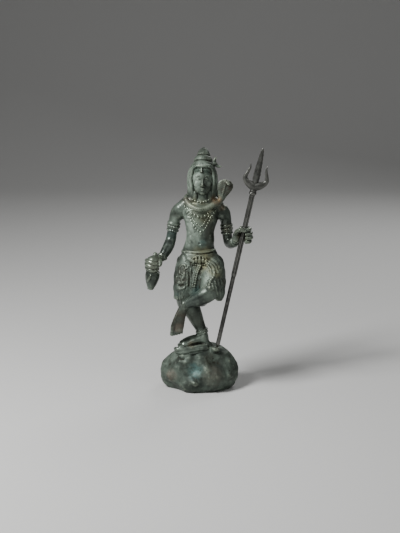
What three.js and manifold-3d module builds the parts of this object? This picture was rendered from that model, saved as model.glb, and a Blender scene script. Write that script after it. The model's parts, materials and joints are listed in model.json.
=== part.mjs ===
// A small cast bronze figure of Shiva, dancing on one leg on a rock, with a trident that
// passes through the left fist and stands in a socket in the rock.
// Millimetres, +Z up. The figure faces -Y, so +X is the viewer's right. The origin is the
// centre of the rock's flat underside.
import * as THREE from "three";
import { mergeVertices } from "three/addons/utils/BufferGeometryUtils.js";
import Module from "manifold-3d";

const wasm = await Module();
wasm.setup();

// The rock
const ROCK_WIDTH = 79;
const ROCK_DEPTH = 60;
const ROCK_HEIGHT = 45;
const LEDGE_THICKNESS = 3;
const LEDGE_ROOT = 11;

// The figure, from its sole to the top of its hair. Its carving is set out in equal parts of
// that height, as an image maker does, and every place on it below is in those parts.
const FIGURE_HEIGHT = 202.5;
const PARTS_IN_HEIGHT = 202.5;
const PART = FIGURE_HEIGHT / PARTS_IN_HEIGHT;

// The trident
const TRIDENT_LENGTH = 222.5;
const HEAD_LENGTH = 47;
const HEAD_WIDTH = 26;
const BLADE_WIDTH = 7.6;
const BLADE_THICKNESS = 3.6;
const PRONG_THICKNESS = 4;
const COLLAR_DIAMETER = 7.6;
const COLLAR_HEIGHT = 3;
const UPPER_STAFF_WIDTH = 5.4;
const LOWER_STAFF_DIAMETER = 4.4;
const LOWER_STAFF_LENGTH = 80;
const PEG_DIAMETER = 2.8;
const PEG_LENGTH = 9;
const SOCKET_DEPTH = 8;
const CLEARANCE = 0.3;

// Finish of the two castings
const GREEN_BRONZE = new THREE.MeshStandardMaterial({ color: 0x4f5f55, roughness: 0.5, metalness: 0.7 });
const GREY_BRONZE = new THREE.MeshStandardMaterial({ color: 0x55544f, roughness: 0.45, metalness: 0.8 });

const FRONT = new THREE.Vector3(0, -1, 0);
const RIGHT = new THREE.Vector3(1, 0, 0);
const UP = new THREE.Vector3(0, 0, 1);
const HALF_TURN = Math.PI;
const QUARTER_TURN = Math.PI / 2;
const MERGE_WITHIN = 1e-4;
const SHORTEST_EDGE = 0.75;
const BAND_EDGE = 0.004;
const AHEAD = 80;

// When edges are drawn together: the least cosine between a face before and after, the least area
// of a face, doubled, and how near the floor a corner counts as lying on it
const LEAST_COSINE = 0.5;
const LEAST_DOUBLE_AREA = 1e-4;
const ON_FLOOR = 1e-3;

/** A place on the figure, from parts of its height above the rock. */
const at = (x, y, z) => new THREE.Vector3(x * PART, y * PART, ROCK_HEIGHT + z * PART);

/** A solid from a closed geometry, with its faces turned outwards. */
function solid(geometry) {
  const bare = geometry.clone();
  bare.deleteAttribute("normal");
  bare.deleteAttribute("uv");
  const merged = mergeVertices(bare, MERGE_WITHIN);
  const corners = merged.index.array;
  const faces = [];
  for (let i = 0; i < corners.length; i += 3) {
    const [a, b, c] = corners.slice(i, i + 3);
    if (a !== b && b !== c && c !== a) faces.push([a, b, c]);
  }
  const build = (list) =>
    new wasm.Manifold(
      new wasm.Mesh({
        numProp: 3,
        vertProperties: merged.attributes.position.array,
        triVerts: new Uint32Array(list.flat()),
      }),
    );
  const made = build(faces);
  return made.volume() > 0 ? made : build(faces.map(([a, b, c]) => [a, c, b]));
}

/** A three.js geometry from a solid. */
function geometryOf(made) {
  const mesh = made.getMesh();
  const count = mesh.vertProperties.length / mesh.numProp;
  const places = new Float32Array(3 * count);
  for (let i = 0; i < count; i++) {
    places.set(mesh.vertProperties.subarray(i * mesh.numProp, i * mesh.numProp + 3), 3 * i);
  }
  return new THREE.BufferGeometry()
    .setAttribute("position", new THREE.BufferAttribute(places, 3))
    .setIndex(new THREE.BufferAttribute(mesh.triVerts, 1));
}

/** The normal of a face of three corners, twice as long as the face's area. */
const crossOf = ([a, b, c], places) =>
  places[b].clone().sub(places[a]).cross(places[c].clone().sub(places[a]));

/**
 * A solid without the slivers that joins leave. Each edge shorter than `limit` is drawn together
 * to one corner, where that folds no face over and keeps the surface closed. Corners on the floor
 * stay on it.
 */
function withoutSlivers(made, limit) {
  const mesh = made.getMesh();
  const places = Array.from({ length: mesh.vertProperties.length / mesh.numProp }, (_, i) =>
    new THREE.Vector3().fromArray(mesh.vertProperties, i * mesh.numProp),
  );
  const faces = Array.from({ length: mesh.triVerts.length / 3 }, (_, i) =>
    Array.from(mesh.triVerts.slice(3 * i, 3 * i + 3)),
  );
  const around = places.map(() => new Set());
  faces.forEach((face, i) => face.forEach((corner) => around[corner].add(i)));
  const neighbours = (corner) => {
    const found = new Set([...around[corner]].flatMap((i) => faces[i]));
    found.delete(corner);
    return found;
  };
  const folds = (corner, other, place) =>
    [...around[corner]].some((i) => {
      if (faces[i].includes(other)) return false;
      const moved = faces[i].map((each) => (each === corner ? place : places[each]));
      const before = crossOf(faces[i], places);
      const after = crossOf([0, 1, 2], moved);
      const turned = before.dot(after) <= LEAST_COSINE * before.length() * after.length();
      return turned || after.length() < LEAST_DOUBLE_AREA;
    });
  const drawTogether = (kept, lost) => {
    const onFloor = (corner) => Math.abs(places[corner].z) < ON_FLOOR;
    const place = places[kept].clone().lerp(places[lost], 0.5);
    if (onFloor(kept) !== onFloor(lost)) place.copy(places[onFloor(kept) ? kept : lost]);
    const near = neighbours(lost);
    const shared = [...neighbours(kept)].filter((corner) => near.has(corner));
    if (shared.length !== 2 || folds(kept, lost, place) || folds(lost, kept, place)) return false;
    places[kept] = place;
    for (const i of around[lost]) {
      if (faces[i].includes(kept)) {
        faces[i].forEach((corner) => corner !== lost && around[corner].delete(i));
        faces[i] = null;
      } else {
        faces[i] = faces[i].map((corner) => (corner === lost ? kept : corner));
        around[kept].add(i);
      }
    }
    around[lost].clear();
    return true;
  };
  const shortEdges = () =>
    faces
      .filter((face) => face)
      .flatMap(([a, b, c]) => [[a, b], [b, c], [c, a]])
      .filter(([a, b]) => a < b && places[a].distanceTo(places[b]) < limit)
      .sort(([a, b], [c, d]) => places[a].distanceTo(places[b]) - places[c].distanceTo(places[d]));
  let drawn = 1;
  while (drawn > 0) {
    drawn = 0;
    for (const [kept, lost] of shortEdges()) {
      const live = around[kept].size > 0 && around[lost].size > 0 && neighbours(kept).has(lost);
      if (live && places[kept].distanceTo(places[lost]) < limit && drawTogether(kept, lost)) drawn += 1;
    }
  }
  const left = faces.filter((face) => face);
  const used = [...new Set(left.flat())];
  const order = new Map(used.map((corner, i) => [corner, i]));
  return new wasm.Manifold(
    new wasm.Mesh({
      numProp: 3,
      vertProperties: new Float32Array(used.flatMap((corner) => places[corner].toArray())),
      triVerts: new Uint32Array(left.flat().map((corner) => order.get(corner))),
    }),
  );
}

/** All the solids of a list as one. */
const fused = (list) => list.reduce((whole, next) => whole.add(next));

/**
 * A turned form carried along a line: each ring has a centre, a half width and a half depth.
 * The ends are rounded, and stand out by the share `cap` of the end ring's size.
 */
function swept(rings, { sides = 9, cap = 0.5, capRings = 1, front = FRONT } = {}) {
  const last = rings.length - 1;
  const frames = rings.map(({ centre }, i) => {
    const before = rings[Math.max(i - 1, 0)].centre;
    const after = rings[Math.min(i + 1, last)].centre;
    const along = after.clone().sub(before).normalize();
    const face = front.clone().addScaledVector(along, -front.dot(along)).normalize();
    return { centre, along, face, side: along.clone().cross(face) };
  });
  const profile = [];
  const places = [];
  const ring = (i, share, push) => {
    profile.push(new THREE.Vector2(share, profile.length));
    places.push({ ...frames[i], wide: rings[i].wide, deep: rings[i].deep, push });
  };
  for (let k = 0; k < capRings; k++) {
    const turn = (QUARTER_TURN * k) / capRings;
    ring(0, Math.sin(turn), -cap * Math.cos(turn) * Math.min(rings[0].wide, rings[0].deep));
  }
  for (let i = 0; i <= last; i++) ring(i, 1, 0);
  for (let k = capRings - 1; k >= 0; k--) {
    const turn = (QUARTER_TURN * k) / capRings;
    ring(last, Math.sin(turn), cap * Math.cos(turn) * Math.min(rings[last].wide, rings[last].deep));
  }
  const form = new THREE.LatheGeometry(profile, sides);
  const spots = form.attributes.position;
  for (let i = 0; i < spots.count; i++) {
    const { centre, along, face, side, wide, deep, push } = places[Math.round(spots.getY(i))];
    const spot = centre
      .clone()
      .addScaledVector(along, push)
      .addScaledVector(side, wide * spots.getX(i))
      .addScaledVector(face, deep * spots.getZ(i));
    spots.setXYZ(i, spot.x, spot.y, spot.z);
  }
  return solid(form);
}

/** Rings along a smooth line through stations of [place, half width, half depth], sizes in millimetres. */
function smoothRings(stations, steps) {
  const line = new THREE.CatmullRomCurve3(stations.map(([place]) => place), false, "centripetal");
  const sizes = new THREE.CatmullRomCurve3(
    stations.map(([, wide, deep = wide]) => new THREE.Vector3(wide, deep, 0)),
    false,
    "catmullrom",
  );
  return Array.from({ length: steps + 1 }, (_, i) => {
    const size = sizes.getPoint(i / steps);
    return { centre: line.getPoint(i / steps), wide: size.x, deep: size.y };
  });
}

/** Rings of a limb from stations of [x, y, z, half width, half depth], all in parts of the height. */
function limbRings(stations, steps = stations.length - 1) {
  return smoothRings(
    stations.map(([x, y, z, wide, deep = wide]) => [at(x, y, z), wide * PART, deep * PART]),
    steps,
  );
}

/** A limb from stations, as limbRings takes them. */
const limb = (stations, options = {}) => swept(limbRings(stations, options.steps), options);

const EGG_RINGS_PER_SIDE = 0.6;

/** An egg shape with its half sizes along X, Y and Z, in parts of the height. */
function egg([x, y, z], [wide, deep, high], sides = 6) {
  const form = new THREE.SphereGeometry(1, sides, Math.ceil(EGG_RINGS_PER_SIDE * sides));
  form.rotateX(QUARTER_TURN);
  form.scale(wide * PART, deep * PART, high * PART);
  const centre = at(x, y, z);
  form.translate(centre.x, centre.y, centre.z);
  return solid(form);
}

/**
 * The rings of a limb with raised bands on it. Each band is [from, to, stands]: two shares of the
 * way along the limb and how far the band stands out, in parts of the height.
 */
function banded(rings, bands) {
  const last = rings.length - 1;
  const pick = (share, stands) => {
    const i = Math.min(Math.floor(share * last), last - 1);
    const rest = share * last - i;
    return {
      share,
      centre: rings[i].centre.clone().lerp(rings[i + 1].centre, rest),
      wide: THREE.MathUtils.lerp(rings[i].wide, rings[i + 1].wide, rest) + stands * PART,
      deep: THREE.MathUtils.lerp(rings[i].deep, rings[i + 1].deep, rest) + stands * PART,
    };
  };
  const plain = rings
    .map((ring, i) => ({ ...ring, share: i / last }))
    .filter(({ share }) => bands.every(([from, to]) => share < from - BAND_EDGE || share > to + BAND_EDGE));
  const raised = bands.flatMap(([from, to, stands]) => [
    pick(from, 0),
    pick(from + BAND_EDGE, stands),
    pick(to - BAND_EDGE, stands),
    pick(to, 0),
  ]);
  return [...plain, ...raised].sort((a, b) => a.share - b.share);
}

/** Makes a surface that rays can meet. */
const surfaceOf = (made) => new THREE.Mesh(geometryOf(made), new THREE.MeshBasicMaterial());

/** A place on the front of a surface, at x and z in parts of the height, standing out by `lift` parts. */
function onFront(surface, x, z, lift) {
  const ray = new THREE.Raycaster(at(x, -AHEAD, z), FRONT.clone().negate());
  const [hit] = ray.intersectObject(surface);
  return hit.point.clone().addScaledVector(FRONT, lift * PART);
}

const BEAD_SIDES = 5;
const BEAD_NARROW = 0.45;

/** A string of beads along a smooth line of places, as one rope that swells and narrows. */
function beads(places, count, radius) {
  const line = new THREE.CatmullRomCurve3(places, false, "centripetal");
  const rings = [];
  for (let i = 0; i <= 2 * count; i++) {
    const size = radius * PART * (i % 2 ? 1 : BEAD_NARROW);
    rings.push({ centre: line.getPointAt(i / (2 * count)), wide: size, deep: size });
  }
  return swept(rings, { sides: BEAD_SIDES });
}

// The rock: heights as shares of ROCK_HEIGHT, and how far out each ring stands
const ROCK_SIDES = 30;
const ROCK_RINGS = [
  [0.0, 0.85],
  [0.1, 0.95],
  [0.24, 1.0],
  [0.4, 1.0],
  [0.56, 0.965],
  [0.71, 0.88],
  [0.84, 0.74],
  [0.95, 0.56],
  [1.0, 0.3],
];
// Lumps and hollows: azimuth in degrees from the front towards +X, height as a share,
// spread in degrees and as a share of the height, and push outwards in millimetres
const ROCK_LUMPS = [
  [-30, 0.74, 14, 0.12, 4.4],
  [-6, 0.56, 13, 0.14, -4.2],
  [-18, 0.05, 10, 0.26, 3.6],
  [-18, 0.38, 15, 0.12, -2.4],
  [-46, 0.32, 16, 0.18, 3.0],
  [-66, 0.6, 15, 0.2, -2.0],
  [-88, 0.42, 18, 0.26, 1.6],
  [-96, 0.84, 26, 0.16, -3.0],
  [-56, 0.05, 15, 0.2, -3.4],
  [16, 0.4, 20, 0.2, 2.8],
  [34, 0.68, 16, 0.13, -4.2],
  [48, 0.3, 16, 0.2, 2.0],
  [66, 0.55, 10, 0.3, -2.4],
  [86, 0.4, 16, 0.26, 2.2],
  [70, 0.86, 22, 0.12, 2.6],
  [112, 0.3, 18, 0.2, -2.8],
  [140, 0.5, 20, 0.2, 3.4],
  [168, 0.28, 16, 0.2, -3.0],
  [-168, 0.66, 18, 0.16, 2.6],
  [-146, 0.36, 18, 0.2, 3.2],
  [-120, 0.58, 16, 0.2, -3.0],
];
const ROCK_CREASES = [
  [3, 0.4, 0.028],
  [5, 1.9, 0.022],
  [8, 4.1, 0.014],
];
// The share of the radius inside which the crown stays smooth, how fast the lumps grow outside it,
// and the share of a lump's push that also lifts the rock
const SMOOTH_CROWN = 0.3;
const LUMP_GROWTH = 2.2;
const LUMP_RISE = 0.4;

/** How far the rock's outline swells or shrinks at an azimuth, as a share of its size. */
const rockOutline = (azimuth) =>
  ROCK_CREASES.reduce((sum, [count, phase, depth]) => sum + depth * Math.sin(count * azimuth + phase), 1);

/** The push of all lumps at an azimuth and a share of the height, in millimetres. */
function lumpsAt(azimuth, share) {
  return ROCK_LUMPS.reduce((sum, [middle, height, spread, tall, push]) => {
    const turn = THREE.MathUtils.euclideanModulo(THREE.MathUtils.radToDeg(azimuth) - middle + 180, 360) - 180;
    return sum + push * Math.exp(-((turn / spread) ** 2) - ((share - height) / tall) ** 2);
  }, 0);
}

/** The rocky mound with a flat underside. */
function rock() {
  const profile = [
    new THREE.Vector2(0, 0),
    ...ROCK_RINGS.map(([, out], i) => new THREE.Vector2(out, i + 1)),
    new THREE.Vector2(0, ROCK_RINGS.length + 1),
  ];
  const heights = [0, ...ROCK_RINGS.map(([height]) => height), 1];
  const form = new THREE.LatheGeometry(profile, ROCK_SIDES);
  const spots = form.attributes.position;
  for (let i = 0; i < spots.count; i++) {
    const share = heights[Math.round(spots.getY(i))];
    const out = Math.hypot(spots.getX(i), spots.getZ(i));
    const azimuth = Math.atan2(spots.getX(i), spots.getZ(i));
    const outline = out * rockOutline(azimuth);
    const push = out > SMOOTH_CROWN ? Math.min(1, LUMP_GROWTH * out) * lumpsAt(azimuth, share) : 0;
    const rise = share < 1 ? LUMP_RISE * Math.sin(QUARTER_TURN * share) * push * share : 0;
    spots.setXYZ(
      i,
      Math.sin(azimuth) * (outline * (ROCK_WIDTH / 2) + push),
      -Math.cos(azimuth) * (outline * (ROCK_DEPTH / 2) + push),
      share * ROCK_HEIGHT + rise,
    );
  }
  return solid(form);
}

// The body, each limb as stations of [x, y, z, half width, half depth]
const TORSO = [
  [-1, -2.5, 92, 18.5, 12.5],
  [-1, -3, 99, 17, 11.5],
  [-0.4, -3, 107, 14.9, 10.6],
  [0, -2.6, 115, 14, 10],
  [0.4, -2.6, 123, 15, 10.8],
  [0.8, -2.8, 132, 17.4, 11.8],
  [1.2, -2, 140, 18.8, 11],
  [2, -0.8, 146, 15.5, 9],
  [2.6, -0.6, 151, 9, 7.6],
];
const NECK = [
  [2.6, -0.4, 146, 8, 7.6],
  [2.6, -1, 153, 7.2, 6.8],
  [2.5, -2, 162, 7, 7],
];
const SHOULDERS = [
  [-21.5, 1.2, 139.4, 5.6, 6],
  [-15.4, 0.6, 144.6, 7.6, 7],
  [-8, 0, 148, 9, 7.4],
  [2.6, -0.4, 149, 9.4, 7.4],
  [12, 0, 147, 8.8, 7.4],
  [18.6, 0.6, 142.6, 7.4, 7],
  [24.4, 1.2, 137.6, 5.6, 6],
];
const RIGHT_ARM = [
  [-19, 0, 142.6, 6.8, 7],
  [-23.4, 1.6, 138, 6.5, 6.6],
  [-26.2, 2.6, 128, 5.9, 6],
  [-28.4, 3.2, 117, 5.2, 5.3],
  [-29.8, 2.2, 109.6, 5.4, 5.3],
  [-32.2, -2.6, 103.4, 5.8, 5.2],
  [-35.8, -8, 97.6, 5.1, 4.6],
  [-39.6, -12.4, 92.4, 3.9, 3.6],
];
const LEFT_ARM = [
  [21.4, 0, 141.2, 6.6, 7],
  [24.8, 1.6, 136, 6.2, 6.4],
  [26.8, 2.8, 126, 5.4, 5.6],
  [27.8, 4, 114, 4.9, 5.1],
  [29.2, 3.4, 106.6, 4.9, 5],
  [31.4, -3, 106, 4.8, 4.8],
  [33.6, -10.5, 108.6, 4.3, 4.2],
  [35.6, -16.4, 111.8, 3.6, 3.5],
];
const STANDING_LEG = [
  [-11, -2.5, 88, 13, 13],
  [-12.4, -5, 76, 12.4, 12.4],
  [-13.6, -9.4, 63, 11.2, 11],
  [-14.6, -11.6, 53, 10, 9.8],
  [-13, -11, 45.4, 9.7, 9.4],
  [-6.9, -8.8, 36, 8.6, 8.8],
  [-2.4, -8, 25.6, 6.8, 7],
  [1.8, -8.2, 16.4, 5.4, 5.6],
  [3.6, -8.2, 9, 5.4, 6.2],
  [4.2, -7.6, 4, 5.2, 6.2],
];
const RAISED_THIGH = [
  [11, -3, 86, 13, 13],
  [12, -12, 79, 12.6, 12.4],
  [11.4, -21, 70.6, 11, 11],
  [10, -28, 63.4, 9.6, 9.4],
];
const RAISED_SHIN = [
  [10.6, -28.6, 62.4, 9, 9],
  [4.6, -28.6, 58, 8.6, 8.4],
  [-3, -27.2, 53.8, 7.4, 7.4],
  [-10.4, -25.6, 50.2, 5.6, 5.6],
  [-16.4, -24, 47.2, 4.6, 4.8],
];
const RAISED_FOOT = [
  [-14.4, -21.6, 48.4, 4.6, 5.2],
  [-17.6, -22.6, 41.6, 4.7, 5],
  [-20.4, -24, 33.4, 5.6, 3.9],
  [-22.6, -25, 25.4, 6.6, 3.1],
  [-23.4, -25.2, 19.6, 6.3, 2.5],
];
const STANDING_FOOT = [
  [6, -6.8, 4.8, 4.8, 5.2],
  [1, -9, 6.4, 5.2, 6.6],
  [-5.6, -12, 6.7, 5.7, 6.3],
  [-12.6, -15, 5.9, 6.3, 5.3],
  [-18.4, -17.4, 4.2, 6.3, 3.8],
];

// The toes, from the big one on, in parts of the height
const TOE_LENGTHS = [3.4, 3.3, 3, 2.6, 2.1];
const TOE_RADII = [1.85, 1.29, 1.23, 1.17, 1.11];
const TOE_SET_BACK = [0.204, 0.136, 0.476, 0.816, 1.156];
const TOE_PITCH = 2.55;
const TOE_DROP = 0.4;
const TOE_TAPER = 0.9;

/** The five toes of a foot, from their middle, the way that they point and the way to the big toe. */
function toes(middle, way, across, up) {
  return TOE_LENGTHS.map((length, i) => {
    const sideways = (2 - i) * TOE_PITCH;
    const back = TOE_SET_BACK[i];
    const radius = TOE_RADII[i];
    const root = middle
      .clone()
      .addScaledVector(across, sideways * PART)
      .addScaledVector(way, -back * PART);
    const tip = root.clone().addScaledVector(way, length * PART).addScaledVector(up, -TOE_DROP * PART);
    return swept(
      [
        { centre: root, wide: radius * PART, deep: radius * PART },
        { centre: tip, wide: TOE_TAPER * radius * PART, deep: TOE_TAPER * radius * PART },
      ],
      { sides: 5, cap: 0.8, front: up },
    );
  });
}

// Bands cast on the limbs: armlets, bracelets and anklets, as [from, to, stands]
const ARM_BANDS = [
  [0.3, 0.335, 1.2],
  [0.365, 0.4, 1.2],
];
const RIGHT_WRIST_BANDS = [[0.94, 0.965, 0.9]];
const LEFT_WRIST_BANDS = [
  [0.885, 0.915, 1],
  [0.94, 0.97, 1],
];
const ANKLE_BANDS = [
  [0.765, 0.787, 1.2],
  [0.8, 0.815, 0.6],
];
const RAISED_ANKLE_BANDS = [[0.9, 0.955, 0.9]];

const CHEST = { aside: 8.3, centre: [0.7, -8.2, 133.6], size: [8.4, 5.4, 5.8] };
const HANGING_TOES = { middle: [-23.4, -25.2, 19.8], way: [-0.06, 0, -1], across: [-1, 0, 0.06] };
const STANDING_TOES = { middle: [-19.6, -18, 3.2], way: [-0.92, -0.39, -0.1] };

/** The torso, neck, arms and legs with their bands, without dress. */
function body() {
  const unit = (numbers) => new THREE.Vector3(...numbers).normalize();
  const hangingWay = unit(HANGING_TOES.way);
  const standingWay = unit(STANDING_TOES.way);
  const hangingToes = toes(at(...HANGING_TOES.middle), hangingWay, unit(HANGING_TOES.across), FRONT);
  const standingToes = toes(at(...STANDING_TOES.middle), standingWay, UP.clone().cross(standingWay), UP);
  const breasts = [-1, 1].map((side) => {
    const [x, y, z] = CHEST.centre;
    return egg([x + side * CHEST.aside, y, z], CHEST.size, 8);
  });
  return [
    limb(TORSO, { sides: 14 }),
    limb(NECK, { sides: 8 }),
    limb(SHOULDERS, { sides: 10 }),
    ...breasts,
    swept(banded(limbRings(RIGHT_ARM), [...ARM_BANDS, ...RIGHT_WRIST_BANDS])),
    swept(banded(limbRings(LEFT_ARM), [...ARM_BANDS, ...LEFT_WRIST_BANDS]), { front: RIGHT }),
    swept(banded(limbRings(STANDING_LEG), ANKLE_BANDS), { sides: 10 }),
    limb(RAISED_THIGH, { front: UP }),
    swept(banded(limbRings(RAISED_SHIN), RAISED_ANKLE_BANDS)),
    limb(RAISED_FOOT),
    limb(STANDING_FOOT, { front: UP }),
    ...hangingToes,
    ...standingToes,
  ];
}

// A fist in its own frame, in parts of the height. Each place is [away, front, up]: away from the
// wrist, towards the viewer, and up along the grip. The fingers lie one below the other.
const FINGER_PITCH = 4.1;
const FINGER_RADIUS = 2.15;
const LITTLE_FINGER = 0.88;
const FINGER_SHIFTS = [-1.2, 0, 0.5, -0.6];
const FINGER_LOOP = [
  [-1, -5.4],
  [4.4, -5.6],
  [7.4, -2.4],
  [7, 2.6],
  [3.4, 4.8],
];
const FOREFINGER_END = [-1.6, 5.6];
const WRIST_SIZE = [3.7, 3.5];
const PALM = [
  [-5, -4.2, -0.4, 5, 3],
  [-0.6, -5.6, 0, 6.8, 3],
  [3.6, -5.2, 0, 7.2, 2.6],
];
const THUMB = [
  [-6.2, -2.4, 1.2, 2.7],
  [-6.2, 2, 4, 2.3],
  [-2.8, 5.4, 6.2, 2.1],
  [1.6, 6, 5.4, 1.8],
];

/**
 * A fist closed on a grip. `away` is 1 when the wrist is on the viewer's left of the grip and -1 when
 * on the right, and `reach` is how far the fist spreads.
 */
function fist({ grip, away, reach, wrist }) {
  const spot = (aside, forward, height) =>
    grip.clone().add(new THREE.Vector3(away * reach * aside, -forward, height).multiplyScalar(PART));
  const fingers = [1.5, 0.5, -0.5, -1.5].map((place, i) => {
    const size = FINGER_RADIUS * (i === 3 ? LITTLE_FINGER : 1) * PART;
    const loop = i === 0 ? [...FINGER_LOOP, FOREFINGER_END] : FINGER_LOOP;
    const stations = loop.map(([aside, forward]) => [
      spot(aside + FINGER_SHIFTS[i], forward, place * FINGER_PITCH),
      size,
    ]);
    return swept(smoothRings(stations, 6), { sides: 6, cap: 0.8, front: UP });
  });
  const [wristTall, wristDeep] = WRIST_SIZE;
  const hand = PALM.map(([aside, forward, height, tall, deep]) => [
    spot(aside, forward, height),
    tall * PART,
    deep * PART,
  ]);
  const palm = [[wrist, wristTall * PART, wristDeep * PART], ...hand];
  const thumb = THUMB.map(([aside, forward, height, size]) => [spot(aside, forward, height), size * PART]);
  return [
    ...fingers,
    swept(smoothRings(palm, 5), { sides: 8 }),
    swept(smoothRings(thumb, 5), { sides: 6, cap: 0.8 }),
  ];
}

// The water gourd in the right hand: along its axis, from its foot to its lip, in parts
const GOURD_FOOT = [-50.2, -15, 61.8];
const GOURD_LIP = [-44.8, -14.6, 99.4];
const GOURD_GRIP = [-46.4, -15.4, 87.2];
const GOURD_SPOUT = { centre: [-51, -21.6, 74.6], size: [1.9, 2.2, 2.4] };
const GOURD = [
  [0, 2.9],
  [0.08, 4.4],
  [0.2, 6.1],
  [0.36, 7.5],
  [0.46, 6.9],
  [0.55, 4.8],
  [0.63, 3.1],
  [0.9, 2.1],
  [1, 1.3],
];

/** The gourd with its spout. */
function gourd() {
  const foot = at(...GOURD_FOOT);
  const lip = at(...GOURD_LIP);
  const rings = GOURD.map(([share, radius]) => ({
    centre: foot.clone().lerp(lip, share),
    wide: radius * PART,
    deep: radius * PART,
  }));
  return [swept(rings, { cap: 0.4 }), egg(GOURD_SPOUT.centre, GOURD_SPOUT.size, 5)];
}

// The head: cranium, face and the hair that frames it
const FACE = { centre: [2.4, -4.6, 171.4], size: [10.2, 10.4, 14.6] };
const HAIR = { centre: [2.3, -0.4, 172.4], size: [15, 13.6, 18] };
const FACE_WINDOW = { wide: 9.2, low: 155, high: 185.4, back: -6 };

/** The hair over the skull, open round the face. */
function hairCap() {
  const { wide, low, high, back } = FACE_WINDOW;
  const through = 2 * HAIR.size[1];
  const tall = (high - low) / 2;
  const opening = new THREE.Shape().absellipse(0, 0, wide * PART, tall * PART, 0, 2 * HALF_TURN, false, 0);
  const cutter = new THREE.ExtrudeGeometry(opening, {
    depth: through * PART,
    bevelEnabled: false,
    curveSegments: 8,
  });
  cutter.rotateX(QUARTER_TURN);
  const place = at(FACE.centre[0], back, low + tall);
  cutter.translate(place.x, place.y, place.z);
  return egg(HAIR.centre, HAIR.size, 12).subtract(solid(cutter));
}

// Where the features lie: shares of the face's half height above its centre
const EYE_LINE = 0.18;
const NOSE_FOOT = -0.26;
const MOUTH_LINE = -0.46;
const CHIN_LINE = -0.78;

/** A calm, plain face on even proportions, with even thirds from hairline to brow, nose and chin. */
function face() {
  const [x, y, z] = FACE.centre;
  const [wide, deep, high] = FACE.size;
  const front = y - deep;
  const eyeLine = z + EYE_LINE * high;
  const noseFoot = z + NOSE_FOOT * high;
  const mouthLine = z + MOUTH_LINE * high;
  const chinLine = z + CHIN_LINE * high;
  const pair = (build) => [-1, 1].map((side) => build(side));
  const nose = limb(
    [
      [x, front + 2.2, eyeLine + 1.4, 1.1, 1.6],
      [x, front + 0.7, (eyeLine + noseFoot) / 2, 1.5, 2],
      [x, front - 0.2, noseFoot + 0.8, 2.2, 2.2],
    ],
    { sides: 6, cap: 0.7 },
  );
  return [
    egg(FACE.centre, FACE.size, 14),
    nose,
    ...pair((side) =>
      limb(
        [
          [x + side * 1.6, front + 1.8, eyeLine + 2.4, 0.9],
          [x + side * 4.6, front + 2.2, eyeLine + 3.6, 1],
          [x + side * 7.8, front + 4.8, eyeLine + 2.6, 0.7],
        ],
        { sides: 4, front: UP },
      ),
    ),
    ...pair((side) => egg([x + side * 4.2, front + 2.8, eyeLine], [2.6, 1.6, 1.35])),
    egg([x, front + 1.1, mouthLine + 0.7], [3.3, 1.5, 0.95]),
    egg([x, front + 1.2, mouthLine - 0.9], [2.7, 1.5, 1.05]),
    egg([x, front + 3, chinLine], [4, 3, 3]),
    egg([x, front + 2.2, eyeLine + 7.4], [1, 1.6, 2]),
    ...pair((side) => egg([x + side * 10.4, -4.6, z + 0.5], [1.6, 3.4, 6])),
    ...pair((side) => egg([x + side * 10, -6, z - 8.6], [1.9, 1.9, 2.8])),
  ];
}

// The piled hair: tiers of [share of the axis, radius], leaning back
const TOPKNOT_FOOT = [2.8, 1.6, 184];
const TOPKNOT_TOP = [4.2, 10.4, 203];
const TIERS = [
  [0, 11.6],
  [0.15, 10.3],
  [0.225, 8.7],
  [0.3, 9.5],
  [0.46, 8.5],
  [0.55, 6.4],
  [0.6, 6.9],
  [0.74, 5.8],
  [0.86, 4.5],
  [0.93, 3],
];

/** The piled hair in two tiers under a cap. */
function topknot() {
  const foot = at(...TOPKNOT_FOOT);
  const top = at(...TOPKNOT_TOP);
  const rings = TIERS.map(([share, radius]) => ({
    centre: foot.clone().lerp(top, share),
    wide: radius * PART,
    deep: 0.95 * radius * PART,
  }));
  return swept(rings, { sides: 12, cap: 0.4 });
}

// The locks that fall behind the shoulders
const LOCKS = 5;
const LOCK_SPREAD = 24;

/** Hair falling down the back in even locks, and one lock on each shoulder. */
function locks() {
  const back = Array.from({ length: LOCKS }, (_, i) => {
    const share = i / (LOCKS - 1) - 0.5;
    const curve = 1 - 4 * share * share;
    return limb(
      [
        [2.4 + LOCK_SPREAD * share, 4 + 6 * curve, 176, 3, 3],
        [2.4 + 1.1 * LOCK_SPREAD * share, 5 + 7 * curve, 162, 2.9, 3],
        [2.4 + 1.2 * LOCK_SPREAD * share, 5.6 + 6 * curve, 149, 2.7, 2.8],
        [2.4 + 1.25 * LOCK_SPREAD * share, 7 + 3.6 * curve, 137, 2.2, 2.4],
        [2.4 + 1.1 * LOCK_SPREAD * share, 8 + 2 * curve, 130 - 5 * curve, 1.2, 1.4],
      ],
      { sides: 5 },
    );
  });
  const shoulder = [-1, 1].map((side) =>
    limb(
      [
        [2.4 + side * 12.6, -1, 168, 2.8, 4],
        [2.4 + side * 13, -1.4, 160, 2.8, 4],
        [2.4 + side * 13.6, -1.6, 153, 2.6, 3.4],
        [2.4 + side * 15.6, -3.2, 146, 2.2, 2.4],
        [2.4 + side * 17, -5.4, 139, 1.2, 1.4],
      ],
      { sides: 5 },
    ),
  );
  return [...back, ...shoulder];
}

// The crescent moon set in the hair on the viewer's right
const MOON = {
  centre: [20, -1.4, 190.4],
  radius: 5.4,
  turn: 30,
  sweep: 86,
  thick: 1.8,
  deep: 1.1,
  horn: 0.08,
};

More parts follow.
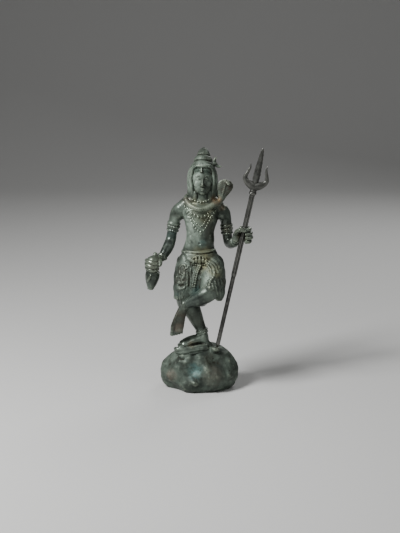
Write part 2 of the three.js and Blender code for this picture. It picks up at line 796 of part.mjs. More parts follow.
/** The crescent, thick in the middle and running out to two horns. */
function moon() {
  const { centre, radius, turn, sweep, thick, deep, horn } = MOON;
  const stations = [-1, -0.7, -0.35, 0, 0.35, 0.7, 1].map((share) => {
    const angle = THREE.MathUtils.degToRad(180 + turn + sweep * share);
    const [x, y, z] = centre;
    const place = at(x + radius * Math.cos(angle), y, z + radius * Math.sin(angle));
    return [place, thick * PART * (1 + horn - share * share), deep * PART];
  });
  return swept(smoothRings(stations, 8), { sides: 4, cap: 0.8 });
}

// The cobra: from its tail behind the neck, round the front, to the hood at the left shoulder
const COBRA_BODY = [
  [12, 12.4, 138, 1.1],
  [9, 11.8, 147, 1.9],
  [0, 9.6, 152, 2.5],
  [-9.6, 5, 154.6, 2.8],
  [-14, -2, 153, 2.9],
  [-10.6, -9, 147.4, 3],
  [-2.4, -13, 143.6, 3],
  [6, -13, 144, 3],
  [13.4, -10, 147.4, 3],
  [18.4, -6.4, 149.2, 3],
  [21.2, -4.6, 152.6, 3.1],
  [22.6, -4.6, 157.6, 4.4, 2.4],
  [24.6, -5, 163, 7.2, 1.9],
  [26.2, -5.2, 167.4, 7.9, 1.8],
  [27.6, -5, 170.4, 5.6, 1.7],
];
const COBRA_HEAD = [
  [26.4, -5.2, 171, 2.2, 1.7],
  [28, -6.8, 170.6, 2.6, 1.8],
  [30.2, -8.8, 169.2, 1.9, 1.4],
];

/** The cobra with its raised hood and head. */
function cobra() {
  return [
    limb(COBRA_BODY, { sides: 6, steps: 24, cap: 0.7 }),
    limb(COBRA_HEAD, { sides: 6, front: UP }),
  ];
}

// The animal skin round the hips: [x, y, z, half width, half depth] from belt to hem
const WAISTBAND = [
  [-1.9, -3, 100, 16.2, 12.2],
  [-1.9, -3, 99.6, 17, 13],
  [-1.9, -3, 97.8, 17.4, 13.2],
];
const SKIRT = [
  [-1.9, -3, 97.4, 16.6, 12.6],
  [-0.8, -3, 91, 20.2, 14.4],
  [0.1, -3, 82, 24.4, 15.4],
  [0, -3.2, 73, 25.8, 15.4],
  [-0.4, -3, 63, 25.8, 14.6],
  [-1.4, -2, 54, 25, 13],
];
const SLEEVE = [
  [-9.8, -2.6, 89, 12.6, 13.4],
  [-12, -6, 73, 14, 14.2],
  [-13.4, -9.4, 62, 13, 13],
  [-13.6, -10.8, 52, 12.6, 12.2],
];
const FLAP = [
  [12, -3, 84, 12.6, 14.4],
  [14, -10, 74, 11.6, 13.6],
  [15.2, -15, 64.4, 10.2, 12.4],
  [15.2, -17, 56.6, 8.7, 10.6],
  [14.8, -17.4, 52.4, 7.5, 9],
];
const FOLDS = 7;
const FOLDS_FROM = 0.04;
const FOLDS_TO = 0.96;
const FOLD_DEPTH = 0.9;
const FOLD_WIDTH_AT_BELT = 0.5;
const FOLD_WIDTH_AT_HEM = 2;

/** The skin's body, its sleeve over the standing thigh and its flap over the raised one. */
function skirt() {
  return [
    limb([...WAISTBAND, ...SKIRT], { sides: 18, cap: 0.12 }),
    limb(SLEEVE, { sides: 14, cap: 0.12 }),
    limb(FLAP, { sides: 12, cap: 0.3 }),
  ];
}

/** Standing folds at the back and sides of the skin. */
function folds() {
  const rings = limbRings(SKIRT);
  return Array.from({ length: FOLDS }, (_, i) => {
    const angle = HALF_TURN * THREE.MathUtils.lerp(FOLDS_FROM, FOLDS_TO, i / (FOLDS - 1));
    const places = rings.map(({ centre, wide, deep }) =>
      centre.clone().add(new THREE.Vector3(Math.cos(angle) * wide, Math.sin(angle) * deep, 0)),
    );
    const stations = places.map((place, k) => {
      const width = THREE.MathUtils.lerp(FOLD_WIDTH_AT_BELT, FOLD_WIDTH_AT_HEM, k / (places.length - 1));
      return [place, width * PART, FOLD_DEPTH * PART];
    });
    const out = new THREE.Vector3(Math.cos(angle), Math.sin(angle), 0);
    return swept(smoothRings(stations, stations.length - 1), { sides: 5, front: out });
  });
}

// The hem's edge from the knot out round the raised thigh, and the tassel under it, as [x, z]
const HEM_LINE = [
  [7, 89],
  [12.6, 86.4],
  [15.8, 80.6],
  [15.6, 74.4],
  [11.8, 69],
  [10.4, 63.4],
  [13.6, 57],
];
const HEM_RADIUS = 1.05;
const TASSEL_LINE = [
  [-0.8, 83],
  [-2.4, 77.6],
  [-4, 71.6],
  [-5.4, 66],
];
const TASSEL_BEADS = 5;
const TASSEL_RADIUS = 1.25;
// The belt's clasp and the beast's mask, with their lumps as [x, z, half width, half height, half depth]
const CLASP = { middle: [-0.6, 91], lift: 0.4 };
const CLASP_LUMPS = [
  [0, 0.4, 2.2, 3.8, 1.9],
  [-4.4, 0.8, 2.9, 2.7, 1.9],
  [4.4, 0.8, 2.9, 2.7, 1.9],
  [-7.6, -0.6, 1.9, 2, 1.9],
  [7.6, -0.6, 1.9, 2, 1.9],
  [-2.9, -3.6, 1.3, 2.4, 1.9],
  [0, -4.4, 1.3, 2.6, 1.9],
  [2.9, -3.6, 1.3, 2.4, 1.9],
];
const MASK = { middle: [-16.6, 73.6], lift: 0 };
const MASK_LUMPS = [
  [0, -1, 4.6, 7.4, 1.7],
  [-4.2, 7.6, 2, 3.4, 1.7],
  [4.2, 7.6, 2, 3.4, 1.7],
  [-2.4, 2.6, 1.4, 1.4, 2.5],
  [2.4, 2.6, 1.4, 1.4, 2.5],
  [0, -2.4, 1.6, 3.4, 2.9],
  [0, -6.4, 3, 1.6, 2.6],
];

/** Low lumps on the front of a surface, round a middle. */
function relief(surface, { middle, lift }, lumps) {
  return lumps.map(([x, z, wide, high, deep]) => {
    const place = onFront(surface, middle[0] + x, middle[1] + z, lift);
    const form = new THREE.SphereGeometry(1, 6, 4);
    form.rotateX(QUARTER_TURN).scale(wide * PART, deep * PART, high * PART);
    return solid(form.translate(place.x, place.y, place.z));
  });
}

/** The edge of the skin, the belt's clasp, its tassel and the mask on the thigh. */
function skirtDress(surface) {
  const hem = HEM_LINE.map(([x, z]) => [onFront(surface, x, z, 0.2), HEM_RADIUS * PART]);
  const tassel = TASSEL_LINE.map(([x, z]) => onFront(surface, x, z, 0.3));
  return [
    swept(smoothRings(hem, 6), { sides: 5 }),
    beads(tassel, TASSEL_BEADS, TASSEL_RADIUS),
    ...relief(surface, CLASP, CLASP_LUMPS),
    ...relief(surface, MASK, MASK_LUMPS),
  ];
}

// Strings of beads on the chest, as [x, z] lines with a bead count and radius
const STRINGS = [
  {
    line: [[-5.6, 153.4], [-2.6, 150.4], [2.4, 149.2], [7.4, 150.4], [10.4, 153.4]],
    count: 7,
    radius: 1.15,
  },
  {
    line: [[-9.6, 141], [-4.6, 137.2], [1.4, 135.6], [7.2, 137.2], [11.6, 141]],
    count: 8,
    radius: 1.25,
  },
  {
    line: [
      ...[[-14.4, 149.6], [-11.4, 140], [-7.4, 130.6], [-3.4, 123]],
      ...[[0.6, 119.4], [4.6, 123.6], [8, 131], [11.6, 138]],
    ],
    count: 18,
    radius: 1.3,
  },
  {
    line: [[-9.8, 136.6], [-5.6, 130], [-1.6, 125.4], [0.8, 124], [3.2, 126], [7, 132.4]],
    count: 9,
    radius: 1,
  },
];

const STRING_LIFT = 0.35;

/** The strings of beads, lying on the chest. */
function strings(surface) {
  return STRINGS.map(({ line, count, radius }) =>
    beads(
      line.map(([x, z]) => onFront(surface, x, z, STRING_LIFT * radius)),
      count,
      radius,
    ),
  );
}

// The trident's line: its socket in the rock, and the grip in the left fist
const SOCKET = new THREE.Vector3(0.222 * ROCK_WIDTH, -0.2 * ROCK_DEPTH, ROCK_HEIGHT - 0.6);
const GRIP_PLACE = [43, -22, 118.6];
const GRIP = at(...GRIP_PLACE);
const STAFF_WAY = GRIP.clone().sub(SOCKET).normalize();
const STAFF_FACE = FRONT.clone().addScaledVector(STAFF_WAY, -FRONT.dot(STAFF_WAY)).normalize();
const STAFF_SIDE = STAFF_WAY.clone().cross(STAFF_FACE).normalize();

/** A place on the trident: across it, out of its plane, and up it from the socket's mouth. */
const onStaff = (across, out, up) =>
  SOCKET.clone()
    .addScaledVector(STAFF_SIDE, across)
    .addScaledVector(STAFF_FACE, out)
    .addScaledVector(STAFF_WAY, up);

/** A straight round or eight-sided bar on the trident's line. */
function bar(stations, sides, turn = 0) {
  const profile = stations.map(([up, radius]) => new THREE.Vector2(radius, up));
  const low = stations[0][0];
  const high = stations[stations.length - 1][0];
  const closed = [new THREE.Vector2(0, low), ...profile, new THREE.Vector2(0, high)];
  const form = new THREE.LatheGeometry(closed, sides, turn);
  const spots = form.attributes.position;
  for (let i = 0; i < spots.count; i++) {
    const spot = onStaff(spots.getX(i), spots.getZ(i), spots.getY(i));
    spots.setXYZ(i, spot.x, spot.y, spot.z);
  }
  return solid(form);
}

const STAFF_SIDES = 8;
const STAFF_TURN = HALF_TURN / STAFF_SIDES;
const OCTAGON = 1 / Math.cos(STAFF_TURN);
const HOLE_SIDES = 12;
const FOOT_TAPER = 3;
const STEP_TAPER = 2;
const STAFF_TOP = TRIDENT_LENGTH - PEG_LENGTH - HEAD_LENGTH;

/** The space that the trident takes in the fist and in the rock, with its clearance. */
function staffSpace() {
  const grip = (UPPER_STAFF_WIDTH / 2 + CLEARANCE) * OCTAGON;
  const peg = PEG_DIAMETER / 2 + CLEARANCE;
  const shaft = LOWER_STAFF_DIAMETER / 2 + CLEARANCE;
  const foot = PEG_LENGTH - SOCKET_DEPTH;
  return fused([
    bar([[-SOCKET_DEPTH - CLEARANCE, peg], [foot + FOOT_TAPER, peg]], HOLE_SIDES),
    bar([[foot, shaft], [LOWER_STAFF_LENGTH, shaft]], HOLE_SIDES),
    bar([[LOWER_STAFF_LENGTH - 2 * STEP_TAPER, grip], [STAFF_TOP, grip]], STAFF_SIDES, STAFF_TURN),
  ]);
}

// The prong as [share of the way out, share of the head's length, thickness], the blade as
// [share of the head's length, width, depth], and the collar as [share of its height, how far in]
const PRONG = [
  [0, 0.12, 1.9],
  [0.46, 0.17, 1.75],
  [0.79, 0.226, 1.3],
  [0.98, 0.3, 1.05],
  [0.91, 0.389, 0.86],
  [0.77, 0.49, 0.68],
  [0.76, 0.61, 0.25],
];
const PRONG_DEPTH = 0.7;
const BLADE = [
  [0.06, 0.8, 1],
  [0.22, 0.88, 1.05],
  [0.42, 0.97, 1],
  [0.62, 0.84, 0.85],
  [0.84, 0.58, 0.55],
  [0.95, 0.32, 0.3],
];
const COLLAR = [
  [-0.5, 0.8],
  [-0.25, 0],
  [0.25, 0],
  [1, 0.6],
  [2, 1],
];

/** The trident's prong on one side, as a flame that curls out and up. */
function prong(side) {
  const thick = PRONG_THICKNESS / 2;
  const half = HEAD_WIDTH / 2 - thick;
  const stations = PRONG.map(([across, up, size]) => [
    onStaff(side * across * half, 0, STAFF_TOP + up * HEAD_LENGTH),
    thick * size,
    PRONG_DEPTH * thick * size,
  ]);
  return swept(smoothRings(stations, 9), { sides: 6, cap: 0.8, front: STAFF_FACE });
}

/** The trident: peg, round lower staff, eight-sided upper staff, collar, blade and two prongs. */
function trident() {
  const upper = (UPPER_STAFF_WIDTH / 2) * OCTAGON;
  const lower = LOWER_STAFF_DIAMETER / 2;
  const peg = PEG_DIAMETER / 2;
  const foot = PEG_LENGTH - SOCKET_DEPTH + CLEARANCE;
  const step = LOWER_STAFF_LENGTH - STEP_TAPER;
  const blade = BLADE.map(([share, wide, deep]) => ({
    centre: onStaff(0, 0, STAFF_TOP + share * HEAD_LENGTH),
    wide: (wide * BLADE_WIDTH) / 2,
    deep: (deep * BLADE_THICKNESS) / 2,
  }));
  const collar = COLLAR.map(([share, inset]) => [
    STAFF_TOP + share * COLLAR_HEIGHT,
    COLLAR_DIAMETER / 2 - inset,
  ]);
  return fused([
    bar([[-SOCKET_DEPTH, peg], [foot + FOOT_TAPER / 3, peg]], STAFF_SIDES),
    bar([[foot, peg], [foot + FOOT_TAPER, lower], [LOWER_STAFF_LENGTH, lower]], STAFF_SIDES),
    bar([[step, lower], [LOWER_STAFF_LENGTH, upper], [STAFF_TOP, upper]], STAFF_SIDES, STAFF_TURN),
    bar(collar, STAFF_SIDES),
    swept(blade, { sides: 4, cap: 1, front: STAFF_FACE }),
    prong(-1),
    prong(1),
  ]);
}

// The ledge under the sole as [x, y, half width], and the boss round the socket, in millimetres
const LEDGE = [
  [10.6, -7.4, 7],
  [2, -10.6, 7.6],
  [-9, -15.4, 8],
  [-20, -19.4, 7.4],
];
const LEDGE_TOP = 0.8;
const BOSS = { size: [5, 5, 3.4], offset: [-1.6, -1.8, -1.6] };
// The rock that carries the ledge: how far below the ledge's top it starts, and its share of its width
const ROOT_DROP = 1;
const ROOT_SHARE = 0.88;

/** Stations along the ledge, for a form of the given height under a top, with a share of its width. */
const alongLedge = (top, height, share) =>
  LEDGE.map(([x, y, wide]) => [at(x, y, top - height / 2), share * wide * PART, height / 2]);

/** The ledge under the sole, the rock that carries it, and the small boss round the socket. */
function footing() {
  const ledge = smoothRings(alongLedge(LEDGE_TOP, LEDGE_THICKNESS, 1), 4);
  const root = alongLedge(LEDGE_TOP - ROOT_DROP, LEDGE_ROOT, ROOT_SHARE);
  const boss = new THREE.SphereGeometry(1, 8, 4).scale(...BOSS.size);
  const place = SOCKET.clone().add(new THREE.Vector3(...BOSS.offset));
  boss.translate(place.x, place.y, place.z);
  return [
    swept(ledge, { sides: 10, cap: 1.2, capRings: 2, front: UP }),
    swept(smoothRings(root, 1), { sides: 8, cap: 0.8, front: UP }),
    solid(boss),
  ];
}

const LEFT_WRIST = [36, -17.6, 112.6];
const RIGHT_WRIST = [-40.2, -13, 91.6];
const RIGHT_REACH = 0.82;

/** The figure and its rock, cast as one. */
function casting() {
  const bare = fused(body());
  const dressed = fused([bare, ...skirt()]);
  const surface = surfaceOf(dressed);
  const leftFist = fist({ grip: GRIP, away: 1, reach: 1, wrist: at(...LEFT_WRIST) });
  const rightFist = fist({
    grip: at(...GOURD_GRIP),
    away: -1,
    reach: RIGHT_REACH,
    wrist: at(...RIGHT_WRIST),
  });
  const whole = fused([
    dressed,
    ...folds(),
    ...skirtDress(surface),
    ...strings(surface),
    ...leftFist,
    ...rightFist,
    ...gourd(),
    hairCap(),
    ...face(),
    topknot(),
    ...locks(),
    moon(),
    ...cobra(),
    rock(),
    ...footing(),
  ]);
  return withoutSlivers(whole, SHORTEST_EDGE).subtract(staffSpace());
}

/** A named mesh of a solid, without the crumbs that cutting leaves. */
function piece(name, made, material) {
  const [whole] = made.decompose().sort((a, b) => b.volume() - a.volume());
  const mesh = new THREE.Mesh(geometryOf(whole), material);
  mesh.name = name;
  return mesh;
}

const group = new THREE.Group();
group.add(piece("figure_on_rock", casting(), GREEN_BRONZE));
group.add(piece("trident", trident(), GREY_BRONZE));

export default group;
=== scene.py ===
"""The looks of a small cast bronze: Shiva dancing on a rock, with a loose trident in the left fist.

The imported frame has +Z up, the figure facing -Y, +X on the viewer's right, and its origin at the centre
of the rock's underside. Forms are modelled in millimetres and turned to metres when a piece is placed.
Places on the figure are measured up from the top of the rock.
"""

from __future__ import annotations

import itertools
import json
import logging
import math
from dataclasses import dataclass, replace
from enum import Enum
from typing import Iterable, Sequence

import bmesh
import bpy
import numpy as np
from mathutils import Matrix, Vector
from mathutils.bvhtree import BVHTree

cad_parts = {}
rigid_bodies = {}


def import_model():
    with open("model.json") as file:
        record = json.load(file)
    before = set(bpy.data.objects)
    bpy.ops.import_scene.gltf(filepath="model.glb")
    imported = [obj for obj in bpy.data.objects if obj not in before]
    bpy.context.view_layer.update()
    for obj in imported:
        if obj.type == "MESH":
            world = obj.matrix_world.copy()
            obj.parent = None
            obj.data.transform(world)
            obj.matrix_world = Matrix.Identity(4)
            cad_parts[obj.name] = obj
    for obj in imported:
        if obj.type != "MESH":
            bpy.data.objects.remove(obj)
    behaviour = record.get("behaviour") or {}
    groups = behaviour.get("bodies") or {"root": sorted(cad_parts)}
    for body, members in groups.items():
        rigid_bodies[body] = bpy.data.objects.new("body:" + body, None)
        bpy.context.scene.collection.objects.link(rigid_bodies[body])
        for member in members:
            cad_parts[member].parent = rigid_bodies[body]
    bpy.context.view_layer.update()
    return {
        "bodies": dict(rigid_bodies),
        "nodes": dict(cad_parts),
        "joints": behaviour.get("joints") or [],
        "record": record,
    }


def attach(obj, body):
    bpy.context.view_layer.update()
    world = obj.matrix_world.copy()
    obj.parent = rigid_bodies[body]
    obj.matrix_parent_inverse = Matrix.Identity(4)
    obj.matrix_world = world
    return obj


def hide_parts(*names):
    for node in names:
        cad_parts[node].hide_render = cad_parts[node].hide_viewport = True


LOG = logging.getLogger("figure")
MM = 0.001
ROCK_TOP = 45.0
FRONT = Vector((0.0, -1.0, 0.0))
RIGHT = Vector((1.0, 0.0, 0.0))
UP = Vector((0.0, 0.0, 1.0))
CASTING = "figure_on_rock"
TRIDENT = "trident"
BODY = "root"

Station = Sequence[float]
Stations = Sequence[Station]
Colour = tuple[float, float, float]
Points = np.ndarray
Values = np.ndarray


class Slot(Enum):
    """The record's material slots."""

    GREEN = "green_bronze"
    GREY = "grey_bronze"


def at(x: float, y: float, z: float) -> Vector:
    """Gives a place on the figure.

    Args:
        x: Millimetres to the viewer's right.
        y: Millimetres towards the back.
        z: Millimetres above the top of the rock.

    Returns:
        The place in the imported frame, in millimetres.
    """
    return Vector((x, y, z + ROCK_TOP))


def ramp(values: Values, low: float, high: float) -> Values:
    """Turns values into a soft step.

    Args:
        values: Any numbers.
        low: The value at which the step starts, where it gives 0.
        high: The value at which it ends, where it gives 1.

    Returns:
        Numbers from 0 to 1.
    """
    share = np.clip((values - low) / (high - low), 0.0, 1.0)
    return share * share * (3.0 - 2.0 * share)


def grain(points: Points, size: float, seed: int = 0) -> Values:
    """Gives smooth random values, the same at each run.

    Args:
        points: Places in millimetres.
        size: How far apart the random values lie, in millimetres.
        seed: Which of many such patterns.

    Returns:
        A value from -1 to 1 for each place.
    """
    cells = points / size + 31.7 * seed
    base = np.floor(cells).astype(np.int64)
    part = cells - base
    part = part * part * (3.0 - 2.0 * part)
    total = np.zeros(len(points))
    for corner in itertools.product((0, 1), repeat=3):
        key = (base + np.array(corner)) @ np.array((73856093, 19349663, 83492791))
        key = (key ^ (key >> 13)) * 1274126177 & 0xFFFFFF
        weight = np.prod(np.where(np.array(corner) == 1, part, 1.0 - part), axis=1)
        total += (key / 0x7FFFFF - 1.0) * weight
    return total


def smooth_stations(stations: Stations, per: int) -> np.ndarray:
    """Puts further stations on a smooth line through the given ones.

    Args:
        stations: Rows of numbers, such as x, y, z, half width and half depth.
        per: How many steps lie between two given stations.

    Returns:
        The rows of the smooth line.
    """
    given = np.array(stations, float)
    rows = np.vstack([2 * given[0] - given[1], given, 2 * given[-1] - given[-2]])
    made = []
    for a, b, c, d in zip(rows, rows[1:], rows[2:], rows[3:]):
        for step in range(per):
            t = step / per
            made.append(
                0.5
                * (
                    2 * b
                    + (c - a) * t
                    + (2 * a - 5 * b + 4 * c - d) * t**2
                    + (3 * b - a - 3 * c + d) * t**3
                )
            )
    return np.array(made + [given[-1]])


@dataclass
class Viewpoint:
    """The photograph's camera, which also says where a pixel of it lies on a surface."""

    elevation: float = math.radians(12.0)
    distance: float = 1200.0
    aim: float = 127.0
    pixel: float = 1.025
    middle: tuple[float, float] = (200.0, 266.5)
    long_side: int = 533
    sensor: float = 36.0

    @property
    def ahead(self) -> Vector:
        """The way that the camera looks."""
        return Vector((0.0, math.cos(self.elevation), -math.sin(self.elevation)))

    @property
    def place(self) -> Vector:
        """Where the camera stands, in millimetres."""
        return Vector((0.0, 0.0, self.aim)) - self.distance * self.ahead

    def way(self, across: float, down: float) -> Vector:
        """Gives the way from the camera through a pixel.

        Args:
            across: Pixels from the photograph's left edge.
            down: Pixels from its top edge.

        Returns:
            A unit vector.
        """
        up = Vector((0.0, math.sin(self.elevation), math.cos(self.elevation)))
        scale = self.pixel / self.distance
        aside = float(across - self.middle[0]) * scale
        rise = float(self.middle[1] - down) * scale
        return (self.ahead + aside * RIGHT + rise * up).normalized()

    def pixels(self, points: Points) -> tuple[Values, Values]:
        """Gives the pixel at which each point is seen.

        Args:
            points: Places in millimetres.

        Returns:
            Pixels across and pixels down.
        """
        gaps = points - np.array(self.place)
        depth = gaps @ np.array(self.ahead)
        up = np.array((0.0, math.sin(self.elevation), math.cos(self.elevation)))
        scale = self.distance / self.pixel
        return self.middle[0] + gaps[:, 0] / depth * scale, self.middle[1] - (gaps @ up) / depth * scale

    def make(self) -> None:
        """Makes the camera and makes it the scene's own."""
        data = bpy.data.cameras.new("camera")
        data.sensor_width = self.sensor
        data.lens = self.sensor * self.distance / (self.pixel * self.long_side)
        data.clip_start = 0.05
        data.clip_end = 50.0
        camera = bpy.data.objects.new("camera", data)
        camera.location = self.place * MM
        camera.rotation_mode = "QUATERNION"
        camera.rotation_quaternion = self.ahead.to_track_quat("-Z", "Y")
        bpy.context.scene.collection.objects.link(camera)
        bpy.context.scene.camera = camera


VIEW = Viewpoint()


class Surface:
    """A finished skin on which further forms are laid."""

    def __init__(self, *meshes: bpy.types.Mesh) -> None:
        """Makes the surface ready for rays.

        Args:
            meshes: Meshes in millimetres.
        """
        form = bmesh.new()
        for mesh in meshes:
            form.from_mesh(mesh)
        self.tree = BVHTree.FromBMesh(form)
        form.free()

    def seen(self, across: float, down: float, lift: float = 0.0) -> Vector:
        """Finds where a pixel of the photograph lies on the surface.

        Args:
            across: Pixels from the photograph's left edge.
            down: Pixels from its top edge.
            lift: How far above the surface, in millimetres.

        Returns:
            The place in millimetres.
        """
        way = VIEW.way(across, down)
        place, normal, _, _ = self.tree.ray_cast(VIEW.place, way)
        if place is None:
            place, normal, _, _ = self.tree.find_nearest(VIEW.place + way * VIEW.distance)
        return place + normal * lift

    def line(self, pixels: Stations, lift: float, per: int = 6) -> list[Vector]:
        """Lays a smooth line of pixels on the surface.

        Args:
            pixels: Pixels across and down.
            lift: How far above the surface, in millimetres.
            per: Steps between two given pixels.

        Returns:
            The places in millimetres.
        """
        return [self.seen(across, down, lift) for across, down in smooth_stations(pixels, per)]


class Clay:
    """Forms in millimetres that are pressed together and then fused into one skin."""

    def __init__(self) -> None:
        """Starts with no form."""
        self.forms: list[bpy.types.Mesh] = []

    def keep(self, form: bmesh.types.BMesh) -> Clay:
        """Keeps a finished form until the clay is fused.

        Args:
            form: The form, which is used up.

        Returns:
            The clay itself.
        """
        mesh = bpy.data.meshes.new("form")
        bmesh.ops.recalc_face_normals(form, faces=form.faces)
        form.to_mesh(mesh)
        form.free()
        self.forms.append(mesh)
        return self

    def sweep(self, rows: np.ndarray, front: Vector = FRONT, sides: int = 20, cap: float = 0.6) -> Clay:
        """Carries a round form along a line.

        Args:
            rows: Stations of x, y, z, half width and half depth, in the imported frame.
            front: The way that the half depth lies.
            sides: Sides of the section.
            cap: How far the ends stand out, as a share of their size.

        Returns:
            The clay itself.
        """
        centres = [Vector(row[:3]) for row in rows]
        frames = []
        for i, row in enumerate(rows):
            along = (centres[min(i + 1, len(rows) - 1)] - centres[max(i - 1, 0)]).normalized()
            face = (front - along * front.dot(along)).normalized()
            side = along.cross(face)
            frames.append((centres[i], side, face, along, max(row[3], 0.02), max(row[4], 0.02)))
        turns = [math.pi / 8 * k for k in (1, 2, 3)]
        matrices = [self._ring(frames[0], math.sin(t), -cap * math.cos(t)) for t in turns]
        matrices += [self._ring(frame, 1.0, 0.0) for frame in frames]
        matrices += [self._ring(frames[-1], math.sin(t), cap * math.cos(t)) for t in reversed(turns)]
        form = bmesh.new()
        ring = bmesh.ops.create_circle(
            form, cap_ends=True, segments=sides, radius=1.0, matrix=matrices[0]
        )["verts"]
        edges = list({edge for vert in ring for edge in vert.link_edges})
        for before, after in zip(matrices, matrices[1:]):
            made = bmesh.ops.extrude_edge_only(form, edges=edges)["geom"]
            ring = [item for item in made if isinstance(item, bmesh.types.BMVert)]
            held = set(ring)
            edges = [
                item for item in made if isinstance(item, bmesh.types.BMEdge) and held.issuperset(item.verts)
            ]
            bmesh.ops.transform(form, matrix=after @ before.inverted(), verts=ring)
        bmesh.ops.contextual_create(form, geom=edges)
        return self.keep(form)

    @staticmethod
    def _ring(frame: tuple, share: float, push: float) -> Matrix:
        """Gives the matrix that turns a unit circle into a ring of a sweep.

        Args:
            frame: Centre, side, face, way along, half width and half depth.
            share: The ring's size as a share of the station's.
            push: How far it lies along the line, as a share of the station's lesser size.

        Returns:
            The matrix.
        """
        centre, side, face, along, wide, deep = frame
        matrix = Matrix.Identity(4)
        matrix.col[0] = (side * wide * share).to_4d()
        matrix.col[1] = (face * deep * share).to_4d()
        matrix.col[2] = along.to_4d()
        for column in range(3):
            matrix[3][column] = 0.0
        matrix.col[3] = (centre + along * push * min(wide, deep)).to_4d()
        return matrix

    def limb(
        self,
        stations: Stations,
        front: Vector = FRONT,
        sides: int = 20,
        cap: float = 0.6,
        per: int = 5,
    ) -> Clay:
        """Adds a limb to the figure.

        Args:
            stations: Rows of x, y, z above the rock, half width, and half depth where it differs.
            front: The way that the half depth lies.
            sides: Sides of the section.
            cap: How far the ends stand out, as a share of their size.
            per: Steps between two stations.

        Returns:
            The clay itself.
        """
        rows = [[x, y, z + ROCK_TOP, size[0], size[-1]] for x, y, z, *size in stations]
        return self.sweep(smooth_stations(rows, per), front, sides, cap)

    def cord(
        self, places: Sequence[Vector], sizes: Sequence[float], front: Vector = FRONT, flat: float = 1.0
    ) -> Clay:
        """Adds a thin form along places that are already smooth.

        Args:
            places: Places in millimetres.
            sizes: The radius at each place.
            front: The way that the half depth lies.
            flat: The half depth as a share of the half width.

        Returns:
            The clay itself.
        """
        rows = np.array([[*place, size, flat * size] for place, size in zip(places, sizes)])
        return self.sweep(rows, front, sides=10, cap=0.8)

    def egg(
        self, centre: Vector, size: Sequence[float], turn: Sequence[float] = (0, 0, 0), detail: int = 14
    ) -> Clay:
        """Adds an egg shape.

        Args:
            centre: Its middle in millimetres.
            size: Half sizes along X, Y and Z.
            turn: Degrees about X, Y and Z.
            detail: Segments round it.

        Returns:
            The clay itself.
        """
        matrix = Matrix.Translation(centre)
        for axis, degrees in zip("ZYX", reversed(turn)):
            matrix = matrix @ Matrix.Rotation(math.radians(degrees), 4, axis)
        matrix = matrix @ Matrix.Diagonal((*size, 1.0))
        form = bmesh.new()
        bmesh.ops.create_uvsphere(
            form, u_segments=detail, v_segments=max(detail * 2 // 3, 4), radius=1.0, matrix=matrix
        )
        return self.keep(form)

    def take(self, mesh: bpy.types.Mesh) -> Clay:
        """Adds a skin that was fused before, which is used up."""
        self.forms.append(mesh)
        return self

    def fuse(self, voxel: float, rounds: int = 2, factor: float = 0.5) -> bpy.types.Mesh:
        """Fuses the forms into one closed skin and softens it.

        Args:
            voxel: The size of the skin's faces in millimetres.
            rounds: How often it is softened.
            factor: How much each time.

        Returns:
            A mesh in millimetres.
        """
        joined = bmesh.new()
        for form in self.forms:
            joined.from_mesh(form)
            bpy.data.meshes.remove(form)
        self.forms.clear()
        rough = bpy.data.meshes.new("clay")
        joined.to_mesh(rough)
        joined.free()
        holder = bpy.data.objects.new("clay", rough)
        bpy.context.scene.collection.objects.link(holder)
        fused = holder.modifiers.new("fused", "REMESH")
        fused.mode = "VOXEL"
        fused.voxel_size = voxel
        if rounds:
            soft = holder.modifiers.new("soft", "SMOOTH")
            soft.iterations = rounds
            soft.factor = factor
        graph = bpy.context.evaluated_depsgraph_get()
        made = bpy.data.meshes.new_from_object(holder.evaluated_get(graph))
        bpy.data.objects.remove(holder)
        bpy.data.meshes.remove(rough)
        return made


